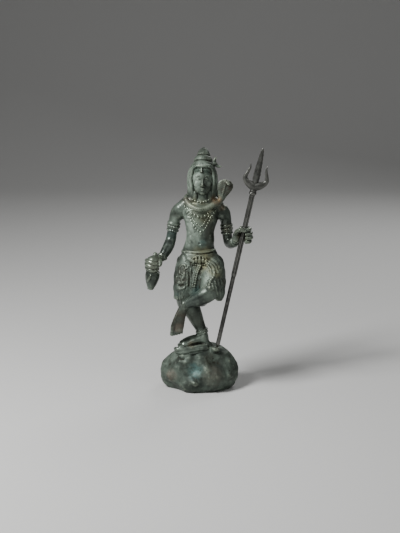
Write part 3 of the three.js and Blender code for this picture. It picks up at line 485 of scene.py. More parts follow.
class Skin:
    """A dense mesh in millimetres whose points are moved as a modeller works over a wax."""

    def __init__(self, mesh: bpy.types.Mesh) -> None:
        """Reads the mesh's points.

        Args:
            mesh: The mesh that is worked over.
        """
        self.mesh = mesh
        self.count = len(mesh.vertices)
        self.points = self._read(mesh.vertices, "co", 3)

    def _read(self, items: bpy.types.bpy_prop_collection, name: str, width: int) -> np.ndarray:
        """Reads one value of each item into rows of the given width."""
        flat = np.empty(len(items) * width, np.float32)
        items.foreach_get(name, flat)
        return flat.reshape(-1, width).astype(float)

    @property
    def normals(self) -> Points:
        """The way that the skin faces at each point."""
        return self._read(self.mesh.vertices, "normal", 3)

    def move(self, points: Points) -> None:
        """Gives each point a new place."""
        self.points = points
        self.mesh.vertices.foreach_set("co", points.astype(np.float32).ravel())
        self.mesh.update()

    def push(self, amounts: Values) -> None:
        """Moves each point outwards by its amount in millimetres."""
        self.move(self.points + self.normals * amounts[:, None])

    def dent(self, place: Sequence[float], reach: float, amount: float) -> Values:
        """Gives the amounts of a soft boss or dent.

        Args:
            place: Its middle in millimetres.
            reach: Its radius.
            amount: How far it stands out, below 0 for a dent.

        Returns:
            An amount for each point.
        """
        gaps = ((self.points - np.array(place)) ** 2).sum(axis=1)
        return amount * np.exp(-gaps / (reach * reach))

    def ridge(self, places: Sequence[Vector], reach: float, amount: float) -> Values:
        """Gives the amounts of a rounded ridge or groove along a line.

        Args:
            places: The line's places in millimetres, closer together than its width.
            reach: Half its width.
            amount: How far it stands out, below 0 for a groove.

        Returns:
            An amount for each point.
        """
        line = np.array([tuple(place) for place in places])
        low, high = line.min(axis=0) - reach, line.max(axis=0) + reach
        near = np.flatnonzero(((self.points > low) & (self.points < high)).all(axis=1))
        amounts = np.zeros(self.count)
        if len(near):
            gaps = ((self.points[near, None, :] - line[None]) ** 2).sum(axis=2).min(axis=1)
            amounts[near] = amount * np.clip(1 - gaps / (reach * reach), 0, 1) ** 0.8
        return amounts

    def relief(self, reach: float) -> Values:
        """Says how far each point stands out of its surroundings.

        Args:
            reach: How wide the surroundings are, in millimetres.

        Returns:
            Millimetres, below 0 in a hollow.
        """
        ends = np.empty(len(self.mesh.edges) * 2, np.int32)
        self.mesh.edges.foreach_get("vertices", ends)
        first, second = ends.reshape(-1, 2).T
        length = np.linalg.norm(self.points[first] - self.points[second], axis=1).mean()
        rounds = max(2, round((reach / length) ** 2 * 1.5))
        shares = np.bincount(first, minlength=self.count) + np.bincount(second, minlength=self.count)
        soft = self.points.copy()
        for _ in range(rounds):
            total = np.stack(
                [
                    np.bincount(first, soft[second, k], self.count)
                    + np.bincount(second, soft[first, k], self.count)
                    for k in range(3)
                ],
                axis=1,
            )
            soft = 0.4 * soft + 0.6 * total / np.maximum(shares, 1)[:, None]
        return np.einsum("ij,ij->i", self.points - soft, self.normals)

    def note(self, name: str, values: Values) -> None:
        """Keeps a value for each point as a named attribute, which the finish reads."""
        kept = self.mesh.attributes.new(name, "FLOAT", "POINT")
        kept.data.foreach_set("value", values.astype(np.float32))


@dataclass(frozen=True)
class StainOrLight:
    """A patch of another colour on the patina: a real stain, or a patch of painted light or painted shade."""

    centre: tuple[float, float, float]
    reach: float
    colour: Colour
    strength: float = 0.6


def stain_and_light(skin: Skin, stains_and_light: Iterable[StainOrLight]) -> None:
    """Notes the colour and strength of the stains and of the painted light and shade at each point of a skin.

    Args:
        skin: The skin in millimetres.
        stains_and_light: The stains and the patches of painted light and shade that may touch it.
    """
    colours = np.zeros((skin.count, 4))
    ragged = 0.75 + 0.55 * grain(skin.points, 3.5, 5) + 0.3 * grain(skin.points, 1.3, 6)
    for spot in stains_and_light:
        gap = np.linalg.norm(skin.points - np.array(at(*spot.centre)), axis=1)
        amount = np.clip(spot.strength * ragged * ramp(gap, spot.reach, 0.35 * spot.reach), 0.0, 1.0)
        colours[:, :3] = colours[:, :3] * (1 - amount[:, None]) + np.array(spot.colour) * amount[:, None]
        colours[:, 3] = np.maximum(colours[:, 3], amount)
    held = np.maximum(colours[:, 3:], 1e-3)
    colours[:, :3] = np.clip(colours[:, :3] / held, 0.0, 1.0)
    kept = skin.mesh.attributes.new("stain_and_light", "FLOAT_COLOR", "POINT")
    kept.data.foreach_set("color", colours.astype(np.float32).ravel())
    skin.note("stained_or_lit", colours[:, 3])


# Pale verdigris. On the lit left side of the torso, arm and head, on the knee, on the top of the standing
# foot and on the rim under its sole, it is painted light.
PALE_MINT_AND_LIGHT: Colour = (0.37, 0.46, 0.38)
OCHRE: Colour = (0.21, 0.20, 0.10)
TEAL: Colour = (0.085, 0.17, 0.165)
ROSE: Colour = (0.20, 0.14, 0.11)
RUST: Colour = (0.22, 0.12, 0.05)
# Dark brown, laid as painted shade in the rock's hollow under the staff and on the calf under the raised leg.
BROWN_SHADE: Colour = (0.045, 0.038, 0.024)
# Dark green. On the brow under the hair band it is painted shade.
MOSS_AND_SHADE: Colour = (0.035, 0.055, 0.042)
DRAB: Colour = (0.10, 0.098, 0.078)
# Dark patina. On the lower rock, shin, calf, skirt's left side, forearm, gourd, right hand and the left
# elbow's far side it is also painted shade, where less light falls.
DARK_PATINA_AND_SHADE: Colour = (0.019, 0.026, 0.024)
UMBER: Colour = (0.050, 0.040, 0.030)

STAINS_AND_LIGHT = (
    # Painted light: pale patches on the lit left side of the torso, chest, arm and head, and on the knee.
    StainOrLight((-12, -12, 118), 19, PALE_MINT_AND_LIGHT, 0.9),
    StainOrLight((-10, -12, 138), 15, PALE_MINT_AND_LIGHT, 0.8),
    StainOrLight((-9, -8, 172), 16, PALE_MINT_AND_LIGHT, 0.8),
    StainOrLight((12, -6, 172), 11, PALE_MINT_AND_LIGHT, 0.5),
    StainOrLight((3, -9, 187), 9, PALE_MINT_AND_LIGHT, 0.5),
    StainOrLight((-27, 0, 130), 9, PALE_MINT_AND_LIGHT, 0.35),
    StainOrLight((-14, -16, 94), 9, PALE_MINT_AND_LIGHT, 0.22),
    StainOrLight((5, -30, 76), 9, PALE_MINT_AND_LIGHT, 0.25),
    # Painted shade on the lower front of the rock.
    StainOrLight((0, -28, -22), 36, DARK_PATINA_AND_SHADE, 0.7),
    StainOrLight((-14, -27, -8), 9, PALE_MINT_AND_LIGHT, 0.22),
    StainOrLight((-46, -16, 88), 11, OCHRE, 0.6),
    StainOrLight((43, -22, 118), 9, OCHRE, 0.35),
    StainOrLight((2, -14, 96), 15, OCHRE, 0.55),
    StainOrLight((2, -16, 86), 11, OCHRE, 0.5),
    StainOrLight((2, -12, 140), 18, OCHRE, 0.35),
    StainOrLight((-8, -12, 150), 8, OCHRE, 0.5),
    StainOrLight((-2, -26, 60), 10, TEAL, 0.6),
    StainOrLight((-20, -16, 58), 7, TEAL, 0.6),
    StainOrLight((-28, 2, 116), 9, TEAL, 0.45),
    StainOrLight((2, -13, 108), 6, TEAL, 0.45),
    StainOrLight((-6, -31, -20), 12, TEAL, 0.8),
    StainOrLight((17, -20, 70), 9, ROSE, 0.8),
    StainOrLight((-20, -25, 34), 17, UMBER, 0.75),
    StainOrLight((-22, -27, 24), 7, ROSE, 0.4),
    StainOrLight((-31, -22, -28), 10, ROSE, 0.5),
    StainOrLight((16, -8, 152), 8, RUST, 0.6),
    StainOrLight((22, -4, 145), 6, RUST, 0.35),
    StainOrLight((27, 2, 122), 8, RUST, 0.25),
    StainOrLight((-4, -17, 4), 5, RUST, 0.35),
    # Dark patina and painted shade on the forearm, upper arm, shin, skirt's left side, calf, gourd and left
    # elbow.
    StainOrLight((-33, -5, 101), 14, DARK_PATINA_AND_SHADE, 0.9),
    StainOrLight((-29, 2, 114), 10, DARK_PATINA_AND_SHADE, 0.5),
    StainOrLight((-4, -32, 50), 18, DARK_PATINA_AND_SHADE, 0.8),
    StainOrLight((-19, -20, 72), 18, DARK_PATINA_AND_SHADE, 0.8),
    StainOrLight((0, -8, 20), 15, DARK_PATINA_AND_SHADE, 0.5),
    StainOrLight((-49, -18, 72), 11, DARK_PATINA_AND_SHADE, 0.4),
    StainOrLight((30, -6, 106), 9, DARK_PATINA_AND_SHADE, 0.3),
    StainOrLight((-14, -8, 151), 8, UMBER, 0.8),
    StainOrLight((-4, -14, 143), 9, DRAB, 0.5),
    # Painted shade in the rock's hollow under the staff.
    StainOrLight((13, -26, -9), 12, BROWN_SHADE, 0.85),
    StainOrLight((14, -31, -26), 15, DRAB, 0.8),
    # Painted shade on the calf under the raised leg.
    StainOrLight((-2, -8, 30), 13, BROWN_SHADE, 0.4),
    # Painted shade on the brow under the overhanging hair band.
    StainOrLight((-4, -12, 183), 6.5, MOSS_AND_SHADE, 1.0),
    StainOrLight((6, -11, 183), 6.5, MOSS_AND_SHADE, 1.0),
    StainOrLight((2, -16, 143), 9, MOSS_AND_SHADE, 0.6),
    StainOrLight((-20, -24, 80), 8, DRAB, 0.5),
    StainOrLight((-14, -26, 66), 9, MOSS_AND_SHADE, 0.4),
    StainOrLight((27, -6, 164), 13, UMBER, 0.85),
    StainOrLight((-45, -20, 88), 10, DRAB, 0.5),
    StainOrLight((14, -10, 118), 12, DRAB, 0.4),
    # Painted light on the top of the standing foot.
    StainOrLight((-12, -16, 9), 12, PALE_MINT_AND_LIGHT, 0.5),
    StainOrLight((0, -11, 12), 10, PALE_MINT_AND_LIGHT, 0.45),
    StainOrLight((-9, -20, 4), 6, RUST, 0.5),
    # Dark patina and painted shade on the right hand.
    StainOrLight((-46, -17, 88), 12, DARK_PATINA_AND_SHADE, 0.4),
    StainOrLight((-20, -22, 76), 15, UMBER, 0.5),
    StainOrLight((15, -24, 82), 11, OCHRE, 0.45),
    # Painted light on the rim under the sole, where shade falls.
    StainOrLight((-16, -26, 0), 11, PALE_MINT_AND_LIGHT, 0.4),
    StainOrLight((-3, -21, 1), 9, PALE_MINT_AND_LIGHT, 0.35),
)
STEEL: Colour = (0.105, 0.110, 0.100)
# Painted shade: the staff darker towards its foot.
STAFF_FOOT_SHADE: Colour = (0.015, 0.015, 0.016)
TRIDENT_STAINS_AND_SHADE = (
    StainOrLight((56.8, -27.4, 183), 34, STEEL, 0.75),
    StainOrLight((47.7, -24, 141), 26, STEEL, 0.55),
    # Painted shade over the lower staff and the peg.
    StainOrLight((27, -15.7, 43), 48, STAFF_FOOT_SHADE, 0.9),
)


@dataclass(frozen=True)
class BronzeFinish:
    """An old bronze surface: dark patina, pale bloom, rubbed edges and dirt in the hollows."""

    name: str
    patina: Colour
    bloom: Colour
    rubbed: Colour
    dirt: Colour
    gloss: float
    metal: float
    bloom_share: float
    sheen: float = 0.3
    grain_depth: float = 0.00012

    def material(self) -> bpy.types.Material:
        """Makes the finish's material, or gives the one that was made before.

        Returns:
            The material.
        """
        made = bpy.data.materials.get(self.name)
        if made:
            return made
        made = bpy.data.materials.new(self.name)
        made.use_nodes = True
        tree = made.node_tree
        shader = next(node for node in tree.nodes if node.type == "BSDF_PRINCIPLED")
        patina = tree.nodes.new("ShaderNodeGroup")
        patina.node_tree = patina_group()
        relief = tree.nodes.new("ShaderNodeAttribute")
        relief.attribute_name = "relief"
        stained_or_lit = tree.nodes.new("ShaderNodeAttribute")
        stained_or_lit.attribute_name = "stain_and_light"
        amount = tree.nodes.new("ShaderNodeAttribute")
        amount.attribute_name = "stained_or_lit"
        for name, value in (
            ("Patina", (*self.patina, 1.0)),
            ("Bloom", (*self.bloom, 1.0)),
            ("Rubbed", (*self.rubbed, 1.0)),
            ("Dirt", (*self.dirt, 1.0)),
            ("Bloom Share", self.bloom_share),
            ("Gloss", self.gloss),
            ("Metal", self.metal),
        ):
            patina.inputs[name].default_value = value
        shader.inputs["Specular IOR Level"].default_value = self.sheen
        bump = tree.nodes.new("ShaderNodeBump")
        bump.inputs["Strength"].default_value = 0.6
        bump.inputs["Distance"].default_value = self.grain_depth
        link = tree.links.new
        link(relief.outputs["Fac"], patina.inputs["Relief"])
        link(stained_or_lit.outputs["Color"], patina.inputs["StainOrLight"])
        link(amount.outputs["Fac"], patina.inputs["StainedOrLit"])
        link(patina.outputs["Colour"], shader.inputs["Base Color"])
        link(patina.outputs["Roughness"], shader.inputs["Roughness"])
        link(patina.outputs["Metallic"], shader.inputs["Metallic"])
        link(patina.outputs["Height"], bump.inputs["Height"])
        link(bump.outputs["Normal"], shader.inputs["Normal"])
        return made


class NodeMaker:
    """Adds linked nodes to a shader node group in short lines."""

    def __init__(self, tree: bpy.types.ShaderNodeTree) -> None:
        """Keeps the group's tree."""
        self.tree = tree

    def feed(self, socket: bpy.types.NodeSocket, value: object) -> None:
        """Links or sets a socket.

        Args:
            socket: The socket.
            value: A socket to link to it, or a value to set.
        """
        if isinstance(value, bpy.types.NodeSocket):
            self.tree.links.new(value, socket)
        else:
            socket.default_value = value

    def noise(self, place: object, scale: float, detail: float, rough: float = 0.55) -> bpy.types.NodeSocket:
        """Adds a noise texture.

        Args:
            place: The coordinates' socket.
            scale: Repeats in a metre.
            detail: Octaves.
            rough: How strong the finer octaves are.

        Returns:
            The noise's value.
        """
        node = self.tree.nodes.new("ShaderNodeTexNoise")
        self.feed(node.inputs["Vector"], place)
        node.inputs["Scale"].default_value = scale
        node.inputs["Detail"].default_value = detail
        node.inputs["Roughness"].default_value = rough
        return node.outputs["Fac"]

    def step(
        self, value: object, low: float, high: float, out: tuple[float, float] = (0.0, 1.0)
    ) -> bpy.types.NodeSocket:
        """Adds a soft step.

        Args:
            value: The value that is stepped.
            low: Where the step starts.
            high: Where it ends.
            out: What it gives before and after.

        Returns:
            The stepped value.
        """
        node = self.tree.nodes.new("ShaderNodeMapRange")
        node.interpolation_type = "SMOOTHSTEP"
        for name, number in (("From Min", low), ("From Max", high), ("To Min", out[0]), ("To Max", out[1])):
            node.inputs[name].default_value = number
        self.feed(node.inputs["Value"], value)
        return node.outputs["Result"]

    def math(self, kind: str, first: object, second: object, clamp: bool = False) -> bpy.types.NodeSocket:
        """Adds a sum, product or the like.

        Args:
            kind: The operation's name.
            first: Its first value.
            second: Its second value.
            clamp: Whether the result is kept from 0 to 1.

        Returns:
            The result.
        """
        node = self.tree.nodes.new("ShaderNodeMath")
        node.operation = kind
        node.use_clamp = clamp
        self.feed(node.inputs[0], first)
        self.feed(node.inputs[1], second)
        return node.outputs["Value"]

    def mix(self, share: object, first: object, second: object) -> bpy.types.NodeSocket:
        """Mixes two colours.

        Args:
            share: How much of the second.
            first: The first colour.
            second: The second colour.

        Returns:
            The mixed colour.
        """
        node = self.tree.nodes.new("ShaderNodeMix")
        node.data_type = "RGBA"
        self.feed(node.inputs["Factor"], share)
        self.feed(node.inputs[6], first)
        self.feed(node.inputs[7], second)
        return node.outputs[2]


def patina_group() -> bpy.types.ShaderNodeTree:
    """Makes the node group that both bronzes share, or gives the one that was made before.

    Returns:
        The group, which puts out colour, roughness, metalness and the height of the grain.
    """
    made = bpy.data.node_groups.get("old_bronze")
    if made:
        return made
    made = bpy.data.node_groups.new("old_bronze", "ShaderNodeTree")
    for name, kind in (
        ("Patina", "NodeSocketColor"),
        ("Bloom", "NodeSocketColor"),
        ("Rubbed", "NodeSocketColor"),
        ("Dirt", "NodeSocketColor"),
        ("StainOrLight", "NodeSocketColor"),
        ("StainedOrLit", "NodeSocketFloat"),
        ("Relief", "NodeSocketFloat"),
        ("Bloom Share", "NodeSocketFloat"),
        ("Gloss", "NodeSocketFloat"),
        ("Metal", "NodeSocketFloat"),
    ):
        made.interface.new_socket(name=name, in_out="INPUT", socket_type=kind)
    for name, kind in (
        ("Colour", "NodeSocketColor"),
        ("Roughness", "NodeSocketFloat"),
        ("Metallic", "NodeSocketFloat"),
        ("Height", "NodeSocketFloat"),
    ):
        made.interface.new_socket(name=name, in_out="OUTPUT", socket_type=kind)
    entry = made.nodes.new("NodeGroupInput").outputs
    exit_ = made.nodes.new("NodeGroupOutput").inputs
    place = made.nodes.new("ShaderNodeTexCoord").outputs["Object"]
    do = NodeMaker(made)
    broad = do.noise(place, 62.0, 5.0)
    middle = do.noise(place, 260.0, 5.0, 0.62)
    fine = do.noise(place, 1300.0, 3.0)
    bloom = do.math("MULTIPLY", do.step(broad, 0.40, 0.64), entry["Bloom Share"])
    flecks = do.math("MULTIPLY", do.step(middle, 0.54, 0.70), 0.30)
    pale = do.math("ADD", bloom, flecks, clamp=True)
    hollow = do.step(do.math("ADD", entry["Relief"], do.step(middle, 0.3, 0.7, (-0.09, 0.09))), 0.47, 0.30)
    raised = do.step(do.math("ADD", entry["Relief"], do.step(middle, 0.3, 0.7, (-0.06, 0.06))), 0.54, 0.74)
    colour = do.mix(pale, entry["Patina"], entry["Bloom"])
    colour = do.mix(do.math("MULTIPLY", raised, 0.45), colour, entry["Rubbed"])
    # Mixes in the noted patches: real stains, and painted light and shade.
    colour = do.mix(do.math("MULTIPLY", entry["StainedOrLit"], 0.85), colour, entry["StainOrLight"])
    colour = do.mix(do.math("MULTIPLY", raised, 0.16), colour, entry["Rubbed"])
    colour = do.mix(do.math("MULTIPLY", hollow, 0.88), colour, entry["Dirt"])
    colour = do.mix(do.step(fine, 0.60, 0.72, (0.0, 0.55)), colour, entry["Dirt"])
    rough = do.math("ADD", entry["Gloss"], do.math("MULTIPLY", pale, 0.16))
    rough = do.math("ADD", rough, do.math("MULTIPLY", hollow, 0.25))
    rough = do.math("SUBTRACT", rough, do.math("MULTIPLY", raised, 0.10), clamp=True)
    dull = do.math("ADD", do.math("MULTIPLY", pale, 0.35), do.math("MULTIPLY", hollow, 0.6), clamp=True)
    metallic = do.math("MULTIPLY", entry["Metal"], do.math("SUBTRACT", 1.0, dull))
    height = do.math("ADD", do.math("MULTIPLY", middle, 0.7), do.math("MULTIPLY", fine, 0.4))
    do.feed(exit_["Colour"], colour)
    do.feed(exit_["Roughness"], rough)
    do.feed(exit_["Metallic"], metallic)
    do.feed(exit_["Height"], height)
    return made


GREEN_BRONZE = BronzeFinish(
    name="old_green_bronze",
    patina=(0.050, 0.061, 0.050),
    bloom=(0.145, 0.187, 0.152),
    rubbed=(0.230, 0.265, 0.205),
    dirt=(0.018, 0.018, 0.011),
    gloss=0.30,
    metal=0.62,
    bloom_share=0.5,
    sheen=0.45,
)
MATT_BRONZE = replace(GREEN_BRONZE, name="matt_green_bronze", gloss=0.52, metal=0.5, sheen=0.22)
GREY_BRONZE = BronzeFinish(
    name="old_grey_bronze",
    patina=(0.032, 0.032, 0.030),
    bloom=(0.075, 0.077, 0.070),
    rubbed=(0.230, 0.230, 0.212),
    dirt=(0.020, 0.020, 0.017),
    gloss=0.36,
    metal=0.85,
    bloom_share=0.4,
)

FINE_REACH = 0.9
BROAD_REACH = 3.0


MOST_TRIANGLES = 190000
SPECK_POINTS = 60


def drop_specks(mesh: bpy.types.Mesh) -> None:
    """Takes away the small closed bubbles that fusing can leave inside a skin.

    Args:
        mesh: The mesh, which is changed.
    """
    form = bmesh.new()
    form.from_mesh(mesh)
    unseen = set(form.verts)
    specks: list[bmesh.types.BMVert] = []
    while unseen:
        front = [unseen.pop()]
        reached = list(front)
        while front:
            vert = front.pop()
            fresh = [other for edge in vert.link_edges if (other := edge.other_vert(vert)) in unseen]
            unseen.difference_update(fresh)
            front.extend(fresh)
            reached.extend(fresh)
        if len(reached) < SPECK_POINTS:
            specks.extend(reached)
    if specks:
        bmesh.ops.delete(form, geom=specks, context="VERTS")
        form.to_mesh(mesh)
    form.free()


def thin(mesh: bpy.types.Mesh, most: int) -> bpy.types.Mesh:
    """Lowers a mesh's number of triangles where it has too many.

    Args:
        mesh: The mesh, which is used up where it is thinned.
        most: The most triangles that it may have.

    Returns:
        The mesh, or a thinner one.
    """
    count = sum(len(face.vertices) - 2 for face in mesh.polygons)
    if count <= most:
        return mesh
    holder = bpy.data.objects.new("thinned", mesh)
    bpy.context.scene.collection.objects.link(holder)
    thinned = holder.modifiers.new("thinned", "DECIMATE")
    thinned.ratio = most / count
    graph = bpy.context.evaluated_depsgraph_get()
    made = bpy.data.meshes.new_from_object(holder.evaluated_get(graph))
    bpy.data.objects.remove(holder)
    bpy.data.meshes.remove(mesh)
    return made


def place_piece(
    name: str, mesh: bpy.types.Mesh, finish: BronzeFinish, slot: Slot, node: str
) -> bpy.types.Object:
    """Dresses a finished skin and places it as a piece.

    Args:
        name: The piece's name.
        mesh: Its mesh in millimetres.
        finish: Its finish.
        slot: The record's slot for it.
        node: The CAD node that it stands for.

    Returns:
        The piece.
    """
    mesh = thin(mesh, MOST_TRIANGLES)
    drop_specks(mesh)
    skin = Skin(mesh)
    relief = 0.62 * skin.relief(FINE_REACH) / 0.16 + 0.38 * skin.relief(BROAD_REACH) / 0.6
    skin.note("relief", np.clip(0.5 + 0.22 * relief, 0.0, 1.0))
    stain_and_light(skin, STAINS_AND_LIGHT if slot is Slot.GREEN else TRIDENT_STAINS_AND_SHADE)
    mesh.transform(Matrix.Scale(MM, 4))
    mesh.shade_smooth()
    mesh.materials.clear()
    mesh.materials.append(finish.material())
    piece = bpy.data.objects.new(name, mesh)
    mesh.name = name
    bpy.context.scene.collection.objects.link(piece)
    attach(piece, BODY)
    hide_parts(node)
    triangles = sum(len(face.vertices) - 2 for face in mesh.polygons)
    LOG.info("%s: %d triangles", name, triangles)
    return piece


@dataclass
class Rock:
    """The rocky mound with a flat underside and the ledge under the sole.

    A boss or dent is a pixel of the photograph with a radius and a height in millimetres.
    """

    cut: float = 45.3
    voxel: float = 0.6
    flat_below: float = 0.4
    bosses: Stations = (
        (188.4, 357.6, 3.6, 2.8), (188.6, 364.0, 3.2, -1.3), (190.4, 367.0, 2.4, 0.8),
        (177.4, 367.0, 5.0, 1.4), (169.6, 376.4, 5.0, 1.2), (195.0, 371.6, 6.2, -0.9),
        (195.0, 384.0, 3.0, 1.9), (203.0, 358.4, 4.6, 0.9), (213.6, 360.4, 7.4, -2.5),
        (206.0, 357.6, 4.4, -0.9), (205.6, 370.4, 4.0, 1.2), (214.0, 376.0, 7.0, 0.9),
        (228.6, 361.4, 3.4, 1.0), (226.4, 371.0, 4.0, -1.0), (233.0, 367.0, 3.2, 0.9),
        (224.4, 384.4, 5.0, -0.7), (178.2, 351.6, 2.4, -0.9), (184.0, 380.0, 4.6, -0.8),
        (170.0, 364.0, 3.4, -0.8), (213.2, 352.8, 2.2, 0.8), (200.6, 388.0, 3.6, -0.8),
    )

    def make(self, node: bpy.types.Object) -> None:
        """Makes the rock from the solid's lower part, softened and weathered.

        Args:
            node: The CAD node that holds the rock.
        """
        form = bmesh.new()
        form.from_mesh(node.data)
        bmesh.ops.scale(form, vec=Vector((1, 1, 1)) / MM, verts=form.verts)
        bmesh.ops.remove_doubles(form, verts=form.verts, dist=0.002)
        cut = bmesh.ops.bisect_plane(
            form,
            geom=[*form.verts, *form.edges, *form.faces],
            plane_co=(0, 0, self.cut),
            plane_no=(0, 0, 1),
            clear_outer=True,
        )["geom_cut"]
        rim = [item for item in cut if isinstance(item, bmesh.types.BMEdge)]
        bmesh.ops.triangle_fill(form, use_beauty=True, edges=rim)
        clay = Clay().keep(form)
        clay.egg(at(13.4, -14.6, -2.4), (2.6, 2.6, 3.6), (0, 20, 0))
        skin = Skin(clay.fuse(self.voxel, rounds=14))
        surface = Surface(skin.mesh)
        amounts = sum(
            skin.dent(surface.seen(across, down), reach, rise) for across, down, reach, rise in self.bosses
        )
        points = skin.points
        weight = ramp(points[:, 2], 0.5, 4.0)
        facing = ramp(skin.normals[:, 2], 1.0, 0.5)
        wear = 0.75 * grain(points, 11.0, 1) + 0.40 * grain(points, 4.6, 2) + 0.12 * grain(points, 1.9, 3)
        skin.push((amounts + wear * (0.35 + 0.65 * facing)) * weight)
        fine = 0.05 * grain(skin.points, 1.0, 21) - 0.22 * ramp(grain(skin.points, 2.6, 4), 0.5, 0.8)
        skin.push(fine * weight)
        settled = skin.points.copy()
        low = settled[:, 2] < self.flat_below
        settled[low, 2] = 0.0
        skin.move(settled)
        place_piece("rock", skin.mesh, MATT_BRONZE, Slot.GREEN, CASTING)


TORSO = (
    (-1, -2.5, 92, 18.5, 12.5), (-1, -3, 99, 17, 11.5), (-0.4, -3, 107, 14.9, 10.6),
    (0, -2.6, 115, 14, 10), (0.4, -2.6, 123, 15, 10.8), (0.8, -2.8, 132, 17.4, 11.8),
    (1.2, -2, 140, 18.8, 11), (2, -0.8, 146, 15.5, 9), (2.6, -0.6, 151, 9, 7.6),
)
NECK = ((2.6, -0.4, 146, 8, 7.6), (2.6, -1, 153, 7.2, 6.8), (2.5, -2, 162, 7, 7))
SHOULDERS = (
    (-21.5, 1.2, 139.4, 5.6, 6), (-15.4, 0.6, 144.6, 7.6, 7), (-8, 0, 148, 9, 7.4),
    (2.6, -0.4, 149, 9.4, 7.4), (12, 0, 147, 8.8, 7.4), (18.6, 0.6, 142.6, 7.4, 7),
    (24.4, 1.2, 137.6, 5.6, 6),
)
RIGHT_ARM = (
    (-19, 0, 142.6, 6.8, 7), (-23.4, 1.6, 138, 6.5, 6.6), (-26.2, 2.6, 128, 5.9, 6),
    (-28.4, 3.2, 117, 5.2, 5.3), (-29.8, 2.2, 109.6, 5.4, 5.3), (-32.2, -2.6, 103.4, 5.8, 5.2),
    (-35.8, -8, 97.6, 5.1, 4.6), (-39.6, -12.4, 92.4, 3.9, 3.6),
)
LEFT_ARM = (
    (21.4, 0, 141.2, 6.6, 7), (24.8, 1.6, 136, 6.2, 6.4), (26.8, 2.8, 126, 5.4, 5.6),
    (27.8, 4, 114, 4.9, 5.1), (29.2, 3.4, 106.6, 4.9, 5), (31.4, -3, 106, 4.8, 4.8),
    (33.6, -10.5, 108.6, 4.3, 4.2), (35.6, -16.4, 111.8, 3.6, 3.5),
)
STANDING_LEG = (
    (-11, -2.5, 88, 13, 13), (-12.4, -5, 76, 12.4, 12.4), (-13.6, -9.4, 63, 11.2, 11),
    (-14.6, -11.6, 53, 10, 9.8), (-13, -11, 45.4, 9.7, 9.4), (-6.9, -8.8, 36, 8.6, 8.8),
    (-2.4, -8, 25.6, 6.8, 7), (1.8, -8.2, 16.4, 5.4, 5.6), (3.6, -8.2, 9, 5.4, 6.2),
    (4.2, -7.6, 4, 5.2, 6.2),
)
RAISED_THIGH = (
    (11, -3, 86, 13, 13), (12, -12, 79, 12.6, 12.4), (11.4, -21, 70.6, 11, 11), (10, -28, 63.4, 9.6, 9.4),
)
RAISED_SHIN = (
    (10.6, -28.6, 62.4, 9, 9), (4.6, -28.6, 58, 8.6, 8.4), (-3, -27.2, 53.8, 7.4, 7.4),
    (-10.4, -25.6, 50.2, 5.6, 5.6), (-16.4, -24, 47.2, 4.6, 4.8),
)
RAISED_FOOT = (
    (-14.4, -21.6, 48.4, 4.6, 5.2), (-17.6, -22.6, 41.6, 4.7, 5), (-20.4, -24, 33.4, 5.6, 3.9),
    (-22.6, -25, 25.4, 6.6, 3.1), (-23.4, -25.2, 19.6, 6.3, 2.5),
)
STANDING_FOOT = (
    (6, -6.8, 4.8, 4.8, 5.2), (1, -9, 6.4, 5.2, 6.6), (-5.6, -12, 6.7, 5.7, 6.3),
    (-12.6, -15, 5.9, 6.3, 5.3), (-18.4, -17.4, 4.2, 6.3, 3.8),
)


@dataclass(frozen=True)
class Band:
    """A ring cast on a limb, between two shares of the way along it."""

    low: float
    high: float
    stands: float
    beaded: bool = False


@dataclass
class Toes:
    """The five toes of a foot, from the big one on. Across is the way to the big toe."""

    middle: tuple[float, float, float]
    way: tuple[float, float, float]
    across: tuple[float, float, float]
    up: Vector
    lengths: tuple[float, ...] = (3.4, 3.3, 3.0, 2.6, 2.1)
    radii: tuple[float, ...] = (2.0, 1.4, 1.34, 1.28, 1.2)
    set_back: tuple[float, ...] = (0.2, 0.14, 0.48, 0.82, 1.16)
    pitch: float = 2.55

    def add(self, clay: Clay) -> None:
        """Presses the toes and their nails onto the foot.

        Args:
            clay: The clay that takes the forms.
        """
        way = Vector(self.way).normalized()
        across = Vector(self.across).normalized()
        for i, (length, radius, back) in enumerate(zip(self.lengths, self.radii, self.set_back)):
            root = at(*self.middle) + across * (2 - i) * self.pitch - way * back
            joint = root + way * 0.5 * length + self.up * 0.25
            tip = root + way * length - self.up * 0.4
            rows = smooth_stations(
                [
                    [*root, radius, radius],
                    [*joint, 0.92 * radius, 0.9 * radius],
                    [*tip, 0.98 * radius, 0.8 * radius],
                ],
                4,
            )
            clay.sweep(rows, self.up, sides=12, cap=0.8)
            nail = tip + self.up * 0.68 * radius + way * 0.35 * radius
            clay.sweep(
                np.array(
                    [[*(nail - way * 0.5), 0.5 * radius, 0.2], [*(nail + way * 0.5), 0.5 * radius, 0.2]]
                ),
                self.up,
                sides=8,
                cap=0.3,
            )


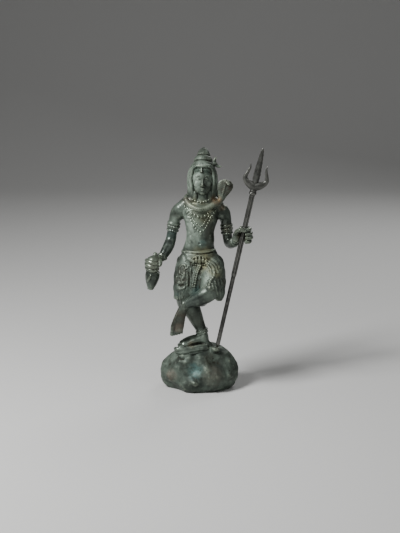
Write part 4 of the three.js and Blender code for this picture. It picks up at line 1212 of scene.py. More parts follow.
@dataclass
class Body:
    """The bare torso, arms, legs and feet, with the bands on the limbs."""

    soft_voxel: float = 0.75
    voxel: float = 0.46
    bead_seat: float = 0.45
    bead_pitch: float = 2.05
    least_bead: float = 0.7
    most_bead: float = 1.05
    arm_bands: tuple[Band, ...] = (
        Band(0.290, 0.315, 1.0), Band(0.322, 0.352, 1.1, beaded=True), Band(0.358, 0.372, 0.8),
        Band(0.378, 0.405, 1.1, beaded=True),
    )
    right_wrist: tuple[Band, ...] = (Band(0.925, 0.945, 0.8, beaded=True), Band(0.955, 0.972, 0.9))
    left_wrist: tuple[Band, ...] = (
        Band(0.880, 0.905, 1.0), Band(0.915, 0.935, 0.9, beaded=True), Band(0.945, 0.970, 1.0),
    )
    ankle: tuple[Band, ...] = (Band(0.765, 0.787, 1.2), Band(0.795, 0.815, 0.7, beaded=True))
    raised_ankle: tuple[Band, ...] = (Band(0.885, 0.915, 0.8), Band(0.925, 0.955, 0.9, beaded=True))
    foot_edge: Stations = (
        (-18.2, -22.6, 46, 2.4), (-21.2, -23.8, 40, 2.5), (-24.4, -25.4, 33, 2.5),
        (-27.2, -26.4, 26, 2.4), (-28.2, -26.6, 20.6, 2.0),
    )
    rim: Stations = (
        (-25.0, -21.0, 0.6, 2.0), (-23.0, -24.6, 1.0, 1.9), (-17.0, -24.9, 1.6, 1.7),
        (-8.6, -22.2, 2.4, 1.6), (0.0, -18.2, 3.0, 1.6), (6.4, -14.8, 2.2, 1.8),
    )
    bank: Stations = (
        (-24.0, -20.6, -1.4, 3.3), (-17.0, -22.6, -1.0, 3.7), (-8.6, -20.2, -0.2, 3.7),
        (0.0, -16.6, 0.2, 3.6), (6.4, -13.8, -0.4, 3.3),
    )
    bed: Stations = ((-21.0, -17.6, -1.6, 3.0), (-10.0, -15.2, -1.0, 3.4), (2.0, -11.6, -1.0, 3.4))
    slope: Stations = (
        (-22.4, -18.8, -4.0, 3.7), (-12.0, -19.2, -3.8, 4.1), (-3.0, -16.0, -3.0, 4.0),
        (6.0, -13.0, -3.0, 3.5),
    )
    arch: Stations = ((-7.0, -18.4, 3.2), (-3.6, -16.9, 3.4), (0.6, -15.4, 3.0))

    def _muscles(self, clay: Clay) -> None:
        """Presses the limbs and the main muscles together.

        Args:
            clay: The clay that takes the forms.
        """
        clay.limb(TORSO, sides=36).limb(NECK).limb(SHOULDERS)
        for side in (-1, 1):
            clay.egg(at(0.7 + side * 8.1, -8.0, 133.4), (8.6, 5.4, 5.6), (8, 0, side * 6), 20)
            clay.limb(
                (
                    (0.8 + side * 2.4, -7.0, 149.4, 1.0), (0.8 + side * 9, -6.2, 148.6, 1.1),
                    (0.8 + side * 17, -4.4, 145.2, 1.2),
                )
            )
            clay.egg(at(0.6 + side * 22.2, 0.6, 137.4), (6.4, 7.0, 8.2), detail=20)
            clay.egg(at(0.4 + side * 8.4, -3, 110.5), (6.0, 8.6, 13.0), detail=20)
        clay.egg(at(-0.4, -8.2, 108.0), (9.5, 5.0, 8.5), detail=20)
        clay.limb(RIGHT_ARM, sides=24).limb(LEFT_ARM, RIGHT, 24)
        clay.limb(STANDING_LEG, sides=28)
        clay.limb(RAISED_THIGH, UP, 28).limb(RAISED_SHIN, sides=28).limb(RAISED_FOOT)
        clay.limb(STANDING_FOOT, UP)
        clay.egg(at(11.2, -32.4, 65.0), (6.2, 5.6, 6.0))
        clay.egg(at(-15.0, -18.6, 51.0), (6.0, 4.4, 6.2))
        clay.egg(at(-5.6, -3.4, 33.0), (5.6, 6.8, 10.0), (0, 26, 0))
        clay.egg(at(1.6, -24.6, 53.0), (7.4, 7.2, 7.2))
        for centre in ((3.4, -13.4, 11.4), (5.0, -3.0, 9.6), (-15.4, -27.0, 44.6), (-18.6, -19.6, 44.2)):
            clay.egg(at(*centre), (1.9, 1.9, 2.1))
        clay.limb(((9.4, -7.4, -1.2, 5.0), (7.0, -9.0, 1.6, 4.8), (4.2, -9.6, 5.4, 4.4)), RIGHT)
        clay.limb(((-0.6, -12.4, 0.6, 2.6), (5.0, -11.6, 0.8, 3.4), (10.6, -9.6, -1.0, 3.6)), UP)

    def _ring(self, stations: Stations, band: Band) -> tuple[np.ndarray, float]:
        """Gives the short stretch of a limb that a band covers, and its mean radius."""
        rows = smooth_stations([[x, y, z + ROCK_TOP, s[0], s[-1]] for x, y, z, *s in stations], 24)
        first, last = (round(share * (len(rows) - 1)) for share in (band.low, band.high))
        return rows[first:max(last, first + 2) + 1], band.stands

    def _add_bands(self, clay: Clay) -> None:
        """Presses each band round its limb.

        Args:
            clay: The clay that takes the forms.
        """
        for stations, bands, front in (
            (RIGHT_ARM, self.arm_bands + self.right_wrist, FRONT),
            (LEFT_ARM, self.arm_bands + self.left_wrist, RIGHT),
            (STANDING_LEG, self.ankle, FRONT),
            (RAISED_SHIN, self.raised_ankle, FRONT),
        ):
            for band in bands:
                rows, stands = self._ring(stations, band)
                if not band.beaded:
                    rows = rows.copy()
                    rows[:, 3:] += stands
                    clay.sweep(rows, front, sides=32, cap=0.06)
                    continue
                middle = rows[len(rows) // 2]
                along = Vector(rows[-1][:3] - rows[0][:3]).normalized()
                face = (front - along * front.dot(along)).normalized()
                side = along.cross(face)
                radius = 0.5 * (Vector(rows[-1][:3]) - Vector(rows[0][:3])).length
                radius = min(max(radius, self.least_bead), self.most_bead)
                count = round(math.pi * (middle[3] + middle[4] + 0.8) / (self.bead_pitch * radius))
                for k in range(count):
                    turn = 2 * math.pi * k / count
                    out = (
                        side * (middle[3] + self.bead_seat) * math.cos(turn)
                        + face * (middle[4] + self.bead_seat) * math.sin(turn)
                    )
                    clay.egg(Vector(middle[:3]) + out, (radius,) * 3, detail=8)

    def make(self) -> bpy.types.Mesh:
        """Makes the body and places it.

        Returns:
            A copy of its skin in millimetres, for what lies on it.
        """
        clay = Clay()
        self._muscles(clay)
        soft = clay.fuse(self.soft_voxel, rounds=9)
        clay = Clay().take(soft)
        self._add_bands(clay)
        Toes((-23.4, -25.2, 19.4), (-0.06, 0, -1), (-1, 0, 0.06), FRONT).add(clay)
        Toes((-19.6, -18, 3.2), (-0.92, -0.39, -0.1), (0.39, -0.92, 0), UP).add(clay)
        clay.limb(self.foot_edge)
        clay.limb(self.rim, UP, 14).limb(self.bank, UP, 14).limb(self.bed, UP, 14).limb(self.slope, UP, 14)
        skin = Skin(clay.fuse(self.voxel, rounds=2))
        points = skin.points
        worn = (
            0.10 * grain(points, 5.0, 7)
            + 0.06 * grain(points, 2.2, 8)
            + skin.dent(at(-0.6, -13.4, 108.5), 1.5, -1.0)
        )
        hollow = sum(skin.dent(at(*place), 2.3, -1.5) for place in self.arch)
        skin.push(worn + hollow)
        kept = skin.mesh.copy()
        place_piece("body", skin.mesh, GREEN_BRONZE, Slot.GREEN, CASTING)
        return kept


WAISTBAND = ((-1.9, -3, 100, 16.2, 12.2), (-1.9, -3, 99.6, 17, 13), (-1.9, -3, 97.8, 17.4, 13.2))
SKIRT = (
    (-1.9, -3, 99.4, 16.4, 12.6), (-0.8, -3, 91, 20.2, 14.4), (0.1, -3, 82, 24.4, 15.4),
    (0, -3.2, 73, 25.8, 15.4), (-0.4, -3, 63, 25.8, 14.6), (-1.4, -2, 54, 25, 13),
)
SLEEVE = (
    (-9.0, -2.6, 93, 11, 12), (-10.4, -3, 84, 13.4, 14.2), (-12, -6, 73, 14, 14.2),
    (-13.4, -9.4, 62, 13, 13), (-13.6, -10.8, 52, 12.6, 12.2),
)
FLAP = (
    (12, -3, 84, 12.6, 14.4), (14, -10, 74, 11.6, 13.6), (15.2, -15, 64.4, 10.2, 12.4),
    (15.2, -17, 56.6, 8.7, 10.6), (14.8, -17.4, 52.4, 7.5, 9),
)

APRON = (
    (1, -7, 86, 8, 8.6), (-0.6, -11.4, 76, 9.5, 10.2), (-3.2, -14.4, 66, 10, 9.8),
    (-5.4, -16, 57, 8.6, 8.4),
)


@dataclass(frozen=True)
class Ridge:
    """A ridge, or a groove with a height below 0, along pixels of the photograph."""

    pixels: Stations
    reach: float
    height: float

    def on(self, skin: Skin, surface: Surface) -> Values:
        """Gives its amount for each point of a skin."""
        return skin.ridge(surface.line(self.pixels, 0.0, 14), self.reach, self.height)


@dataclass
class Skirt:
    """The animal's skin round the hips, with its belt, clasp, tassel, edges and the beast's mask.

    Its lines on the front are pixels of the photograph, laid on the surface.
    """

    soft_voxel: float = 0.7
    voxel: float = 0.36
    hem: Stations = (
        (206.8, 263.4), (210.2, 264.6), (212.6, 267.2), (213.8, 271.0), (213.9, 274.6), (212.4, 278.0),
        (210.2, 281.0), (209.2, 284.6), (209.6, 288.6), (211.2, 292.8), (213.6, 297.0),
    )
    knee: Stations = (
        (180, 303), (186, 300.6), (191, 297.4), (196, 294), (201, 290.8), (205, 288.4), (207.6, 286.8),
        (209.2, 288), (210.6, 293), (213.4, 298), (217, 301),
    )
    belt: Stations = (
        (182.2, 248.6), (185.0, 250.4), (190.0, 251.6), (196.0, 252.3), (202.0, 252.4), (208.0, 251.8),
        (213.0, 250.4), (216.4, 248.6),
    )
    slots: int = 8
    first_slot: float = 193.2
    slot_pitch: float = 1.75
    slot_top: float = 264.0
    slot_foot: float = 266.0
    tassel: Stations = (
        (200.4, 266.0), (198.8, 269.6), (197.4, 273.0), (196.4, 277.0), (195.6, 281.4), (194.6, 286.4),
    )
    folds: tuple[Ridge, ...] = (
        Ridge(((205.6, 257.0), (211.2, 258.0), (216.2, 261.6), (219.2, 267.0)), 1.5, 0.8),
        Ridge(((206.4, 260.6), (211.4, 262.2), (216.0, 266.2), (218.4, 272.4)), 1.4, 0.7),
        Ridge(((212.6, 283.6), (213.4, 289.0), (215.2, 296.0)), 1.3, 0.9),
        Ridge(((215.4, 281.6), (216.4, 288.6), (218.0, 296.0)), 1.2, 0.8),
        Ridge(((218.4, 280.0), (219.4, 287.0), (220.4, 294.4)), 1.2, 0.8),
        Ridge(((221.2, 277.0), (221.8, 284.0), (222.0, 291.0)), 1.1, 0.6),
        Ridge(((184.0, 256.0), (186.0, 260.4), (190.6, 263.0)), 1.5, -0.7),
        Ridge(((186.6, 254.6), (188.4, 258.6), (191.6, 260.6)), 1.5, 0.6),
        Ridge(((176.4, 292.0), (176.8, 296.0), (177.6, 300.0)), 1.0, 0.7),
        Ridge(((179.2, 293.0), (179.4, 296.4), (180.0, 299.6)), 1.0, 0.7),
        Ridge(((182.2, 292.6), (182.4, 295.4), (182.8, 297.8)), 0.9, 0.6),
        Ridge(((193.6, 272.0), (192.8, 278.6), (192.2, 286.0)), 0.9, 0.6),
    )
    mask: tuple[Ridge, ...] = (
        Ridge(
            ((180.4, 273.4), (179.4, 268.8), (181.6, 265.2), (184.8, 265.0), (186.0, 268.2), (184.0, 270.2)),
            1.1,
            1.0,
        ),
        Ridge(((187.4, 268.4), (188.8, 265.4), (190.8, 267.4), (190.4, 271.0)), 1.0, 0.8),
        Ridge(((184.8, 270.6), (184.0, 275.4), (182.0, 280.4)), 1.6, 1.3),
        Ridge(((177.2, 274.6), (179.8, 273.0), (182.4, 274.6)), 0.9, 0.9),
        Ridge(((176.6, 277.0), (176.2, 281.0), (177.0, 285.0)), 1.0, 0.7),
        Ridge(((186.8, 271.4), (187.6, 277.6), (187.0, 285.6)), 1.2, 0.9),
        Ridge(((190.4, 272.8), (191.0, 279.0), (190.2, 287.2)), 1.1, 0.7),
        Ridge(((178.2, 282.2), (181.0, 282.8), (184.0, 282.0)), 1.6, 1.2),
        Ridge(((178.0, 288.2), (181.2, 289.0), (184.6, 287.4)), 1.3, 0.9),
        Ridge(((178.6, 285.4), (180.8, 285.8), (183.2, 285.0)), 1.1, -1.7),
        Ridge(((177.6, 278.0), (179.4, 278.2)), 1.1, -1.2),
        Ridge(((188.8, 272.6), (189.4, 279.0), (188.8, 286.0)), 0.8, -0.7),
        Ridge(((185.6, 284.4), (186.0, 288.0), (185.0, 291.0)), 0.9, -0.6),
    )

    def _clasp(self, clay: Clay, surface: Surface) -> None:
        """Lays the lobed clasp and its fringe on the belt.

        Args:
            clay: The clay that takes the forms.
            surface: The surface that the places lie on.
        """
        lobes = (
            (199.8, 261.0, 1.9, 3.5), (196.4, 260.8, 1.7, 2.7), (203.2, 260.8, 1.7, 2.7),
            (193.6, 261.8, 1.5, 2.1), (206.0, 261.8, 1.5, 2.1), (199.7, 257.4, 1.3, 1.2),
            (196.4, 257.8, 1.0, 0.9), (203.0, 257.8, 1.0, 0.9),
        )
        for across, down, wide, high in lobes:
            clay.egg(surface.seen(across, down, 0.2), (wide, 1.7, high), detail=12)
        for pixels, lift, size in (
            (((191.4, 261.6), (193.6, 258.0), (199.6, 255.6), (205.2, 258.0), (207.4, 261.4)), 0.0, 0.9),
            (((191.6, 263.6), (195.4, 264.8), (199.8, 265.2), (204.0, 264.8), (207.6, 263.4)), -0.3, 0.9),
        ):
            places = surface.line(pixels, lift, 8)
            clay.cord(places, [size] * len(places))

    def _hang(self, clay: Clay, surface: Surface) -> None:
        """Hangs the two rows of tassel beads under the clasp.

        Args:
            clay: The clay that takes the forms.
            surface: The surface that the places lie on.
        """
        for shift, radius in ((0.0, 1.15), (-2.0, 0.85)):
            line = tuple((across + shift, down) for across, down in self.tassel)
            for place in surface.line(line, 0.1, 2 if radius > 1 else 3):
                clay.egg(place, (radius, radius, 0.85 * radius), detail=10)

    def _carve(self, skin: Skin, surface: Surface) -> Values:
        """Carves the mask, the folds, the edge, the belt and the clasp's lower fringe.

        Args:
            skin: The skin, which is reshaped.
            surface: The surface that the places lie on.

        Returns:
            The height at each point of the skin, in millimetres.
        """
        worn = 0.62 + 0.30 * grain(skin.points, 1.6, 21)
        amounts = worn * sum(ridge.on(skin, surface) for ridge in (*self.folds, *self.mask))
        hem = surface.line(self.hem, 0.0, 16)
        notched = 0.75 + 0.25 * np.sin(2.1 * skin.points[:, 2]) * np.sin(1.7 * skin.points[:, 0] + 1.0)
        amounts = amounts + skin.ridge(hem, 1.7, 1.5) * notched
        inner = surface.line(tuple((across - 2.6, down + 1.2) for across, down in self.hem[:8]), 0.0, 16)
        amounts += skin.ridge(inner, 0.9, 0.6) * (0.5 + 0.5 * notched)
        amounts += skin.ridge(surface.line(self.belt, 0.0, 20), 0.9, 0.7)
        lower = tuple((across, down + 1.7) for across, down in self.belt[1:-1])
        amounts += skin.ridge(surface.line(lower, 0.0, 20), 1.0, -0.5)
        for k in range(self.slots):
            across = self.first_slot + self.slot_pitch * k
            slot = surface.line(((across, self.slot_top), (across - 0.2, self.slot_foot)), 0.0, 8)
            amounts += skin.ridge(slot, 0.8, -0.6)
        return amounts

    def _drape(self, skin: Skin) -> None:
        """Lifts the skin off the bare knee and panel and presses folds into its sides and back.

        Args:
            skin: The skin, which is reshaped.
        """
        across, down = VIEW.pixels(skin.points)
        x, y, z = (skin.points - np.array((-0.5, -3.0, ROCK_TOP))).T
        front = ramp(-skin.normals[:, 1], -0.1, 0.25)
        hem = np.array([(low, over) for over, low in self.hem])
        knee = np.array(self.knee)
        edge = np.array([(low, over) for over, low in self.tassel])
        panel = ramp(across - np.interp(down, hem[:, 0], hem[:, 1]), 0.5, -0.4)
        panel *= ramp(across - np.interp(down, edge[:, 0], edge[:, 1]), 0.4, 1.4) * ramp(down, 262.0, 266.0)
        bare = ramp(down - np.interp(across, knee[:, 0], knee[:, 1]), -0.5, 0.4) * ramp(-y, 4.0, 9.0)
        covered = 1.2 - 0.75 * panel
        turn = np.arctan2(y, x)
        behind = ramp(y, -9.0, 3.0)
        low = ramp(z, 97.0, 60.0)
        swing = turn * 15.0 + 0.8 * np.sin(z * 0.09 + 2.0 * turn)
        folds = (0.75 * np.sin(swing) - 0.35 * np.abs(np.sin(0.5 * swing))) * behind * (0.25 + 0.75 * low)
        side = 0.35 * np.sin(0.55 * z + 1.4 * np.cos(turn)) * ramp(np.abs(x), 14.0, 22.0) * low * (1 - behind)
        lift = covered * front * (1 - bare) - 2.4 * bare
        skin.push(lift + folds * (1 - bare) + side * (1 - bare) + 0.10 * grain(skin.points, 3.2, 10))

    def make(self, body: bpy.types.Mesh) -> None:
        """Makes the skin and places it.

        Args:
            body: The bare body; not used.
        """
        clay = Clay()
        clay.limb(SKIRT, sides=44, cap=0.12)
        clay.limb(SLEEVE, sides=36, cap=0.12).limb(FLAP, sides=36, cap=0.3)
        clay.limb(RAISED_THIGH, UP, 28).limb(APRON, sides=28)
        soft = Skin(clay.fuse(self.soft_voxel, rounds=9))
        self._drape(soft)
        clay = Clay().take(soft.mesh)
        rows = [[x, y, z + ROCK_TOP, wide, deep] for x, y, z, wide, deep in WAISTBAND]
        clay.sweep(smooth_stations(rows, 3), sides=48, cap=0.05)
        firm = clay.fuse(0.5, rounds=1)
        surface = Surface(firm)
        clay = Clay().take(firm)
        self._clasp(clay, surface)
        self._hang(clay, surface)
        skin = Skin(clay.fuse(self.voxel, rounds=2))
        skin.push(self._carve(skin, surface))
        fur = skin.points * np.array((1.0, 1.0, 0.6))
        height = skin.points[:, 2] - ROCK_TOP
        marks = -0.16 * ramp(grain(fur, 1.0, 11), 0.30, 0.65) - 0.20 * ramp(grain(fur, 2.1, 9), 0.30, 0.7)
        skin.push(marks * ramp(height, 94.0, 90.0))
        place_piece("skin_skirt", skin.mesh, MATT_BRONZE, Slot.GREEN, CASTING)


@dataclass
class Head:
    """The head with a calm, plain face on even proportions, the hair, its piled tiers and the moon."""

    middle: float = 2.4
    front: float = -14.6
    brow: float = 176.0
    eyes: float = 173.6
    nose: float = 166.8
    mouth: float = 163.3
    chin: float = 157.6
    eye_spread: float = 4.1
    voxel: float = 0.3
    strands: int = 15
    spread: float = 74.0
    side_rolls: tuple[Stations, ...] = (
        (
            (6.2, -11.2, 186.2, 1.0), (9.4, -9.2, 183.6, 1.3), (10.8, -7.9, 179.4, 1.5),
            (11.3, -7.2, 174.6, 1.6), (11.3, -6.8, 169.4, 1.65), (10.8, -6.6, 164.4, 1.6),
            (10.0, -6.2, 159.6, 1.5), (9.5, -5.8, 155.2, 1.4), (9.3, -5.2, 151.0, 1.1),
        ),
        (
            (8.4, -7.8, 186.2, 1.5), (11.2, -6.2, 182.4, 2.0), (12.7, -4.6, 177.6, 2.2),
            (13.3, -3.6, 172.4, 2.2), (13.2, -3.0, 167.2, 2.2), (12.6, -2.6, 161.8, 2.1),
            (11.8, -2.4, 156.8, 1.9), (11.6, -2.2, 151.8, 1.6),
        ),
    )
    hair_bed: Stations = (
        (8.8, -3.8, 184.0, 3.6, 4.6), (10.2, -3.6, 177.0, 3.4, 4.7), (10.6, -3.2, 170.0, 3.3, 4.7),
        (10.2, -2.9, 162.0, 3.2, 4.4), (9.4, -2.4, 152.0, 3.0, 3.6),
    )
    headband: Stations = (
        (-11.2, 2.0, 183.0, 1.7), (-10.4, -3.0, 184.2, 1.9), (-7.8, -7.8, 185.8, 2.0),
        (-3.6, -10.7, 186.8, 2.1), (0.0, -11.3, 187.0, 2.1), (3.6, -10.7, 186.8, 2.1),
        (7.8, -7.8, 185.8, 2.0), (10.4, -3.0, 184.2, 1.9), (11.2, 2.0, 183.0, 1.7),
    )
    tiers: Stations = (
        (0.0, 11.6), (0.06, 11.1), (0.11, 10.7), (0.16, 10.3), (0.20, 9.3), (0.225, 8.4), (0.25, 8.5),
        (0.28, 9.4), (0.33, 9.5), (0.40, 9.1), (0.46, 8.5), (0.51, 7.5), (0.54, 6.3), (0.565, 6.1),
        (0.59, 6.8), (0.64, 6.7), (0.70, 6.2), (0.78, 5.4), (0.86, 4.4), (0.92, 3.2), (0.95, 2.2),
    )
    knot_foot: tuple[float, float, float] = (2.8, 1.6, 184.0)
    knot_top: tuple[float, float, float] = (4.2, 10.4, 203.0)

    def _flesh(self, clay: Clay) -> None:
        """Presses the soft masses of the face together.

        Args:
            clay: The clay that takes the forms.
        """
        x, front = self.middle, self.front
        clay.egg(at(x, front + 10.2, 173.2), (10.2, 10.2, 13.8), detail=32)
        clay.egg(at(x, front + 8.8, 165.4), (8.4, 8.0, 8.6), detail=28)
        clay.egg(at(x, front + 3.4, self.chin + 2.4), (3.0, 2.6, 2.6), detail=18)
        clay.egg(at(x, front + 2.6, self.mouth), (3.8, 2.0, 2.8), detail=18)
        clay.limb(NECK)
        for side in (-1, 1):
            clay.egg(at(x + side * 5.0, front + 4.1, 168.8), (3.6, 2.5, 3.8), detail=18)
            clay.egg(at(x + side * 3.9, front + 2.7, self.brow + 0.5), (3.4, 1.5, 1.1), (0, side * -6, 0))

    def _features(self, clay: Clay) -> None:
        """Presses eyes, nose, lips and the mark on the brow into shape.

        Args:
            clay: The clay that takes the forms.
        """
        x, front = self.middle, self.front
        clay.limb(
            (
                (x, front + 1.8, self.brow - 0.4, 0.95, 1.3), (x, front + 0.5, 171.0, 1.05, 1.5),
                (x, front - 0.9, 168.4, 1.35, 1.6), (x, front - 0.7, self.nose + 0.6, 1.25, 1.3),
            ),
            sides=14,
        )
        clay.limb(
            (
                (x - 2.7, front + 1.5, self.mouth + 0.25, 0.35),
                (x - 1.0, front + 0.3, self.mouth + 0.85, 0.6),
                (x, front + 0.2, self.mouth + 0.65, 0.55), (x + 1.0, front + 0.3, self.mouth + 0.85, 0.6),
                (x + 2.7, front + 1.5, self.mouth + 0.25, 0.35),
            ),
            UP, 10,
        )
        clay.limb(
            (
                (x - 2.3, front + 1.4, self.mouth - 0.2, 0.35), (x, front + 0.2, self.mouth - 0.75, 0.8),
                (x + 2.3, front + 1.4, self.mouth - 0.2, 0.35),
            ),
            UP, 10,
        )
        clay.limb(
            ((x - 0.9, front + 3.4, 186.4, 0.7), (x - 0.9, front + 1.6, 183.6, 0.8),
             (x - 0.9, front + 0.8, 181.2, 1.2)),
            sides=12,
        )
        for side in (-1, 1):
            eye = x + side * self.eye_spread
            inner, outer = x + side * 2.0, x + side * 6.5
            clay.egg(at(x + side * 1.35, front + 0.5, self.nose + 0.5), (0.85, 1.1, 0.8), detail=12)
            clay.egg(at(eye, front + 2.15, self.eyes), (2.0, 1.15, 1.05), detail=18)
            clay.limb(
                (
                    (inner, front + 1.9, self.eyes, 0.28), (eye, front + 0.95, self.eyes + 1.15, 0.42),
                    (outer, front + 2.9, self.eyes + 0.15, 0.28),
                ),
                UP, 8,
            )
            clay.limb(
                (
                    (inner, front + 1.9, self.eyes - 0.1, 0.24), (eye, front + 1.15, self.eyes - 1.05, 0.3),
                    (outer, front + 2.9, self.eyes, 0.24),
                ),
                UP, 8,
            )
            clay.limb(
                (
                    (x + side * 1.5, front + 1.2, self.brow - 0.2, 0.34),
                    (x + side * 4.2, front + 1.1, self.brow + 1.1, 0.42),
                    (x + side * 7.4, front + 3.6, self.brow + 0.2, 0.3),
                ),
                UP, 8,
            )

    def _fringe(self, clay: Clay) -> None:
        """Lays the roll round the head over the brow and the rolls down both sides of the face.

        Args:
            clay: The clay that takes the forms.
        """
        x = self.middle
        clay.limb([(x + aside, *rest) for aside, *rest in self.headband], UP, 18, per=5)
        for side in (-1, 1):
            for lock in self.side_rolls:
                clay.limb(
                    [(x + side * aside, back, height, size) for aside, back, height, size in lock],
                    sides=16,
                    per=5,
                )
            bedded = [(x + side * aside, *rest) for aside, *rest in self.hair_bed]
            clay.limb(bedded, sides=20, per=4)
            clay.egg(at(x + side * 7.4, -4.4, 155.6), (3.4, 4.0, 7.6), detail=18)
        clay.egg(at(x, -3.4, 182.2), (11.6, 8.9, 7.6), detail=32)

    def _strand(self, clay: Clay, turn: float) -> None:
        """Lays one strand from the knot over the skull and down to the shoulder or back.

        Args:
            clay: The clay that takes the forms.
            turn: The strand's angle round the head in radians.
        """
        angle = math.radians(turn)
        path = (
            (188.0, 0.60, 1.3), (184.5, 0.79, 1.6), (180.0, 0.92, 1.75), (175.0, 0.99, 1.8),
            (170.0, 1.0, 1.8), (165.0, 0.975, 1.75), (160.0, 0.905, 1.7), (155.5, 0.845, 1.6),
            (151.0, 0.83, 1.4),
        )
        stations = [
            (2.3 + 13.5 * out * math.sin(angle), 0.2 - 12.1 * out * math.cos(angle), height, size)
            for height, out, size in path
        ]
        clay.limb(stations, sides=12, per=4)

    def _locks(self, clay: Clay) -> None:
        """Lays the locks that fall down the back and over both shoulders.

        Args:
            clay: The clay that takes the forms.
        """
        for k in range(9):
            share = k / 8 - 0.5
            curve = 1 - 4 * share * share
            clay.limb(
                (
                    (2.4 + 24 * share, 4 + 6.6 * curve, 176, 1.9),
                    (2.4 + 26.4 * share, 5.2 + 7.6 * curve, 162, 1.9),
                    (2.4 + 28.8 * share, 6 + 6.6 * curve, 149, 1.8),
                    (2.4 + 30 * share, 7 + 4.2 * curve, 137, 1.6),
                    (2.4 + 26.4 * share, 8 + 2.4 * curve, 130 - 5 * curve, 0.9),
                ),
                sides=12,
            )
        for side in (-1, 1):
            for k in range(3):
                clay.limb(
                    (
                        (2.4 + side * (11.2 + 0.8 * k), -2.4 + 2.4 * k, 164, 1.5),
                        (2.4 + side * (11.4 + 1.2 * k), -2.2 + 2.4 * k, 157, 1.6),
                        (2.4 + side * (12.4 + 1.6 * k), -2.4 + 2.3 * k, 151, 1.6),
                        (2.4 + side * (14.4 + 1.6 * k), -4.2 + 2.3 * k, 145.4, 1.4),
                        (2.4 + side * (15.6 + 1.8 * k), -5.6 + 2.3 * k, 139.6, 1.0),
                    ),
                    sides=12,
                )

    def _hair(self, clay: Clay) -> None:
        """Lays the strands, the roll above the brow and the piled tiers.

        Args:
            clay: The clay that takes the forms.
        """
        clay.egg(at(2.3, 2.0, 172.4), (13.2, 10.8, 16.2), detail=28)
        for k in range(self.strands):
            self._strand(clay, self.spread + (360.0 - 2 * self.spread) * k / (self.strands - 1))
        self._fringe(clay)
        self._locks(clay)
        foot, top = at(*self.knot_foot), at(*self.knot_top)
        rows = [[*foot.lerp(top, share), radius, 0.95 * radius] for share, radius in self.tiers]
        clay.sweep(smooth_stations(rows, 4), sides=56, cap=0.5)

    def _moon(self, clay: Clay) -> None:
        """Sets the crescent in the hair.

        Args:
            clay: The clay that takes the forms.
        """
        stations = []
        for share in (-1, -0.7, -0.35, 0, 0.35, 0.7, 1):
            angle = math.radians(210 + 86 * share)
            stations.append(
                (
                    20 + 5.4 * math.cos(angle), -1.4, 190.4 + 5.4 * math.sin(angle),
                    1.8 * (1.08 - share**2), 1.1,
                )
            )
        clay.limb(stations, sides=12, cap=0.8)
        clay.limb(((11.6, -1.8, 186.8, 2.2), (14.6, -1.6, 188.0, 1.7), (16.4, -1.4, 188.6, 1.4)), sides=12)

    def _comb(self, skin: Skin) -> None:
        """Combs fine hair into the strands and tiers.

        Args:
            skin: The skin, which is reshaped.
        """
        points = skin.points
        x, y, z = (points - np.array((2.5, 0.0, ROCK_TOP))).T
        turn = np.arctan2(x, -y)
        rest = ramp(np.abs(turn), math.radians(60), math.radians(68))
        piled = ramp(z, 184.5, 186.5)
        moon = ramp(x, 15.0, 16.5)
        lean = (z - 184.0) * 0.46
        coiled = np.arctan2(x, -(y - lean))
        combed = 0.06 * np.sin(coiled * 30 + 1.05 * z) * piled * (1 - moon)
        brow = ramp(z, self.brow + 3.4, self.brow + 4.6) * ramp(z, 187.0, 185.4) * ramp(np.abs(x), 9.6, 8.6)
        parted = np.arctan2(np.abs(x + 0.9), 189.0 - z)
        combed -= (
            0.16 * np.abs(np.sin(parted * 11.0)) * brow * ramp(-y, 4.0, 6.0) * ramp(np.abs(x + 0.9), 0.9, 1.6)
        )
        falling = 0.10 * np.sin(turn * 64 + 0.8 * np.sin(0.3 * z)) * rest * (1 - piled)
        skin.push(combed + falling + 0.03 * grain(points, 1.4, 12))

    def make(self) -> None:
        """Makes the head and places it."""
        flesh = Clay()
        self._flesh(flesh)
        soft = Skin(flesh.fuse(0.42, rounds=7))
        points = soft.points
        hollow = np.zeros(soft.count)
        for side in (-1, 1):
            gap = points - np.array(
                at(self.middle + side * self.eye_spread, self.front + 1.6, self.eyes - 0.1)
            )
            hollow -= 1.0 * np.exp(
                -((gap[:, 0] / 2.7) ** 2) - (gap[:, 1] / 4.0) ** 2 - (gap[:, 2] / 1.8) ** 2
            )
        soft.push(hollow)
        clay = Clay().take(soft.mesh)
        self._features(clay)
        self._hair(clay)
        self._moon(clay)
        skin = Skin(clay.fuse(self.voxel, rounds=2))
        self._comb(skin)
        place_piece("head", skin.mesh, MATT_BRONZE, Slot.GREEN, CASTING)


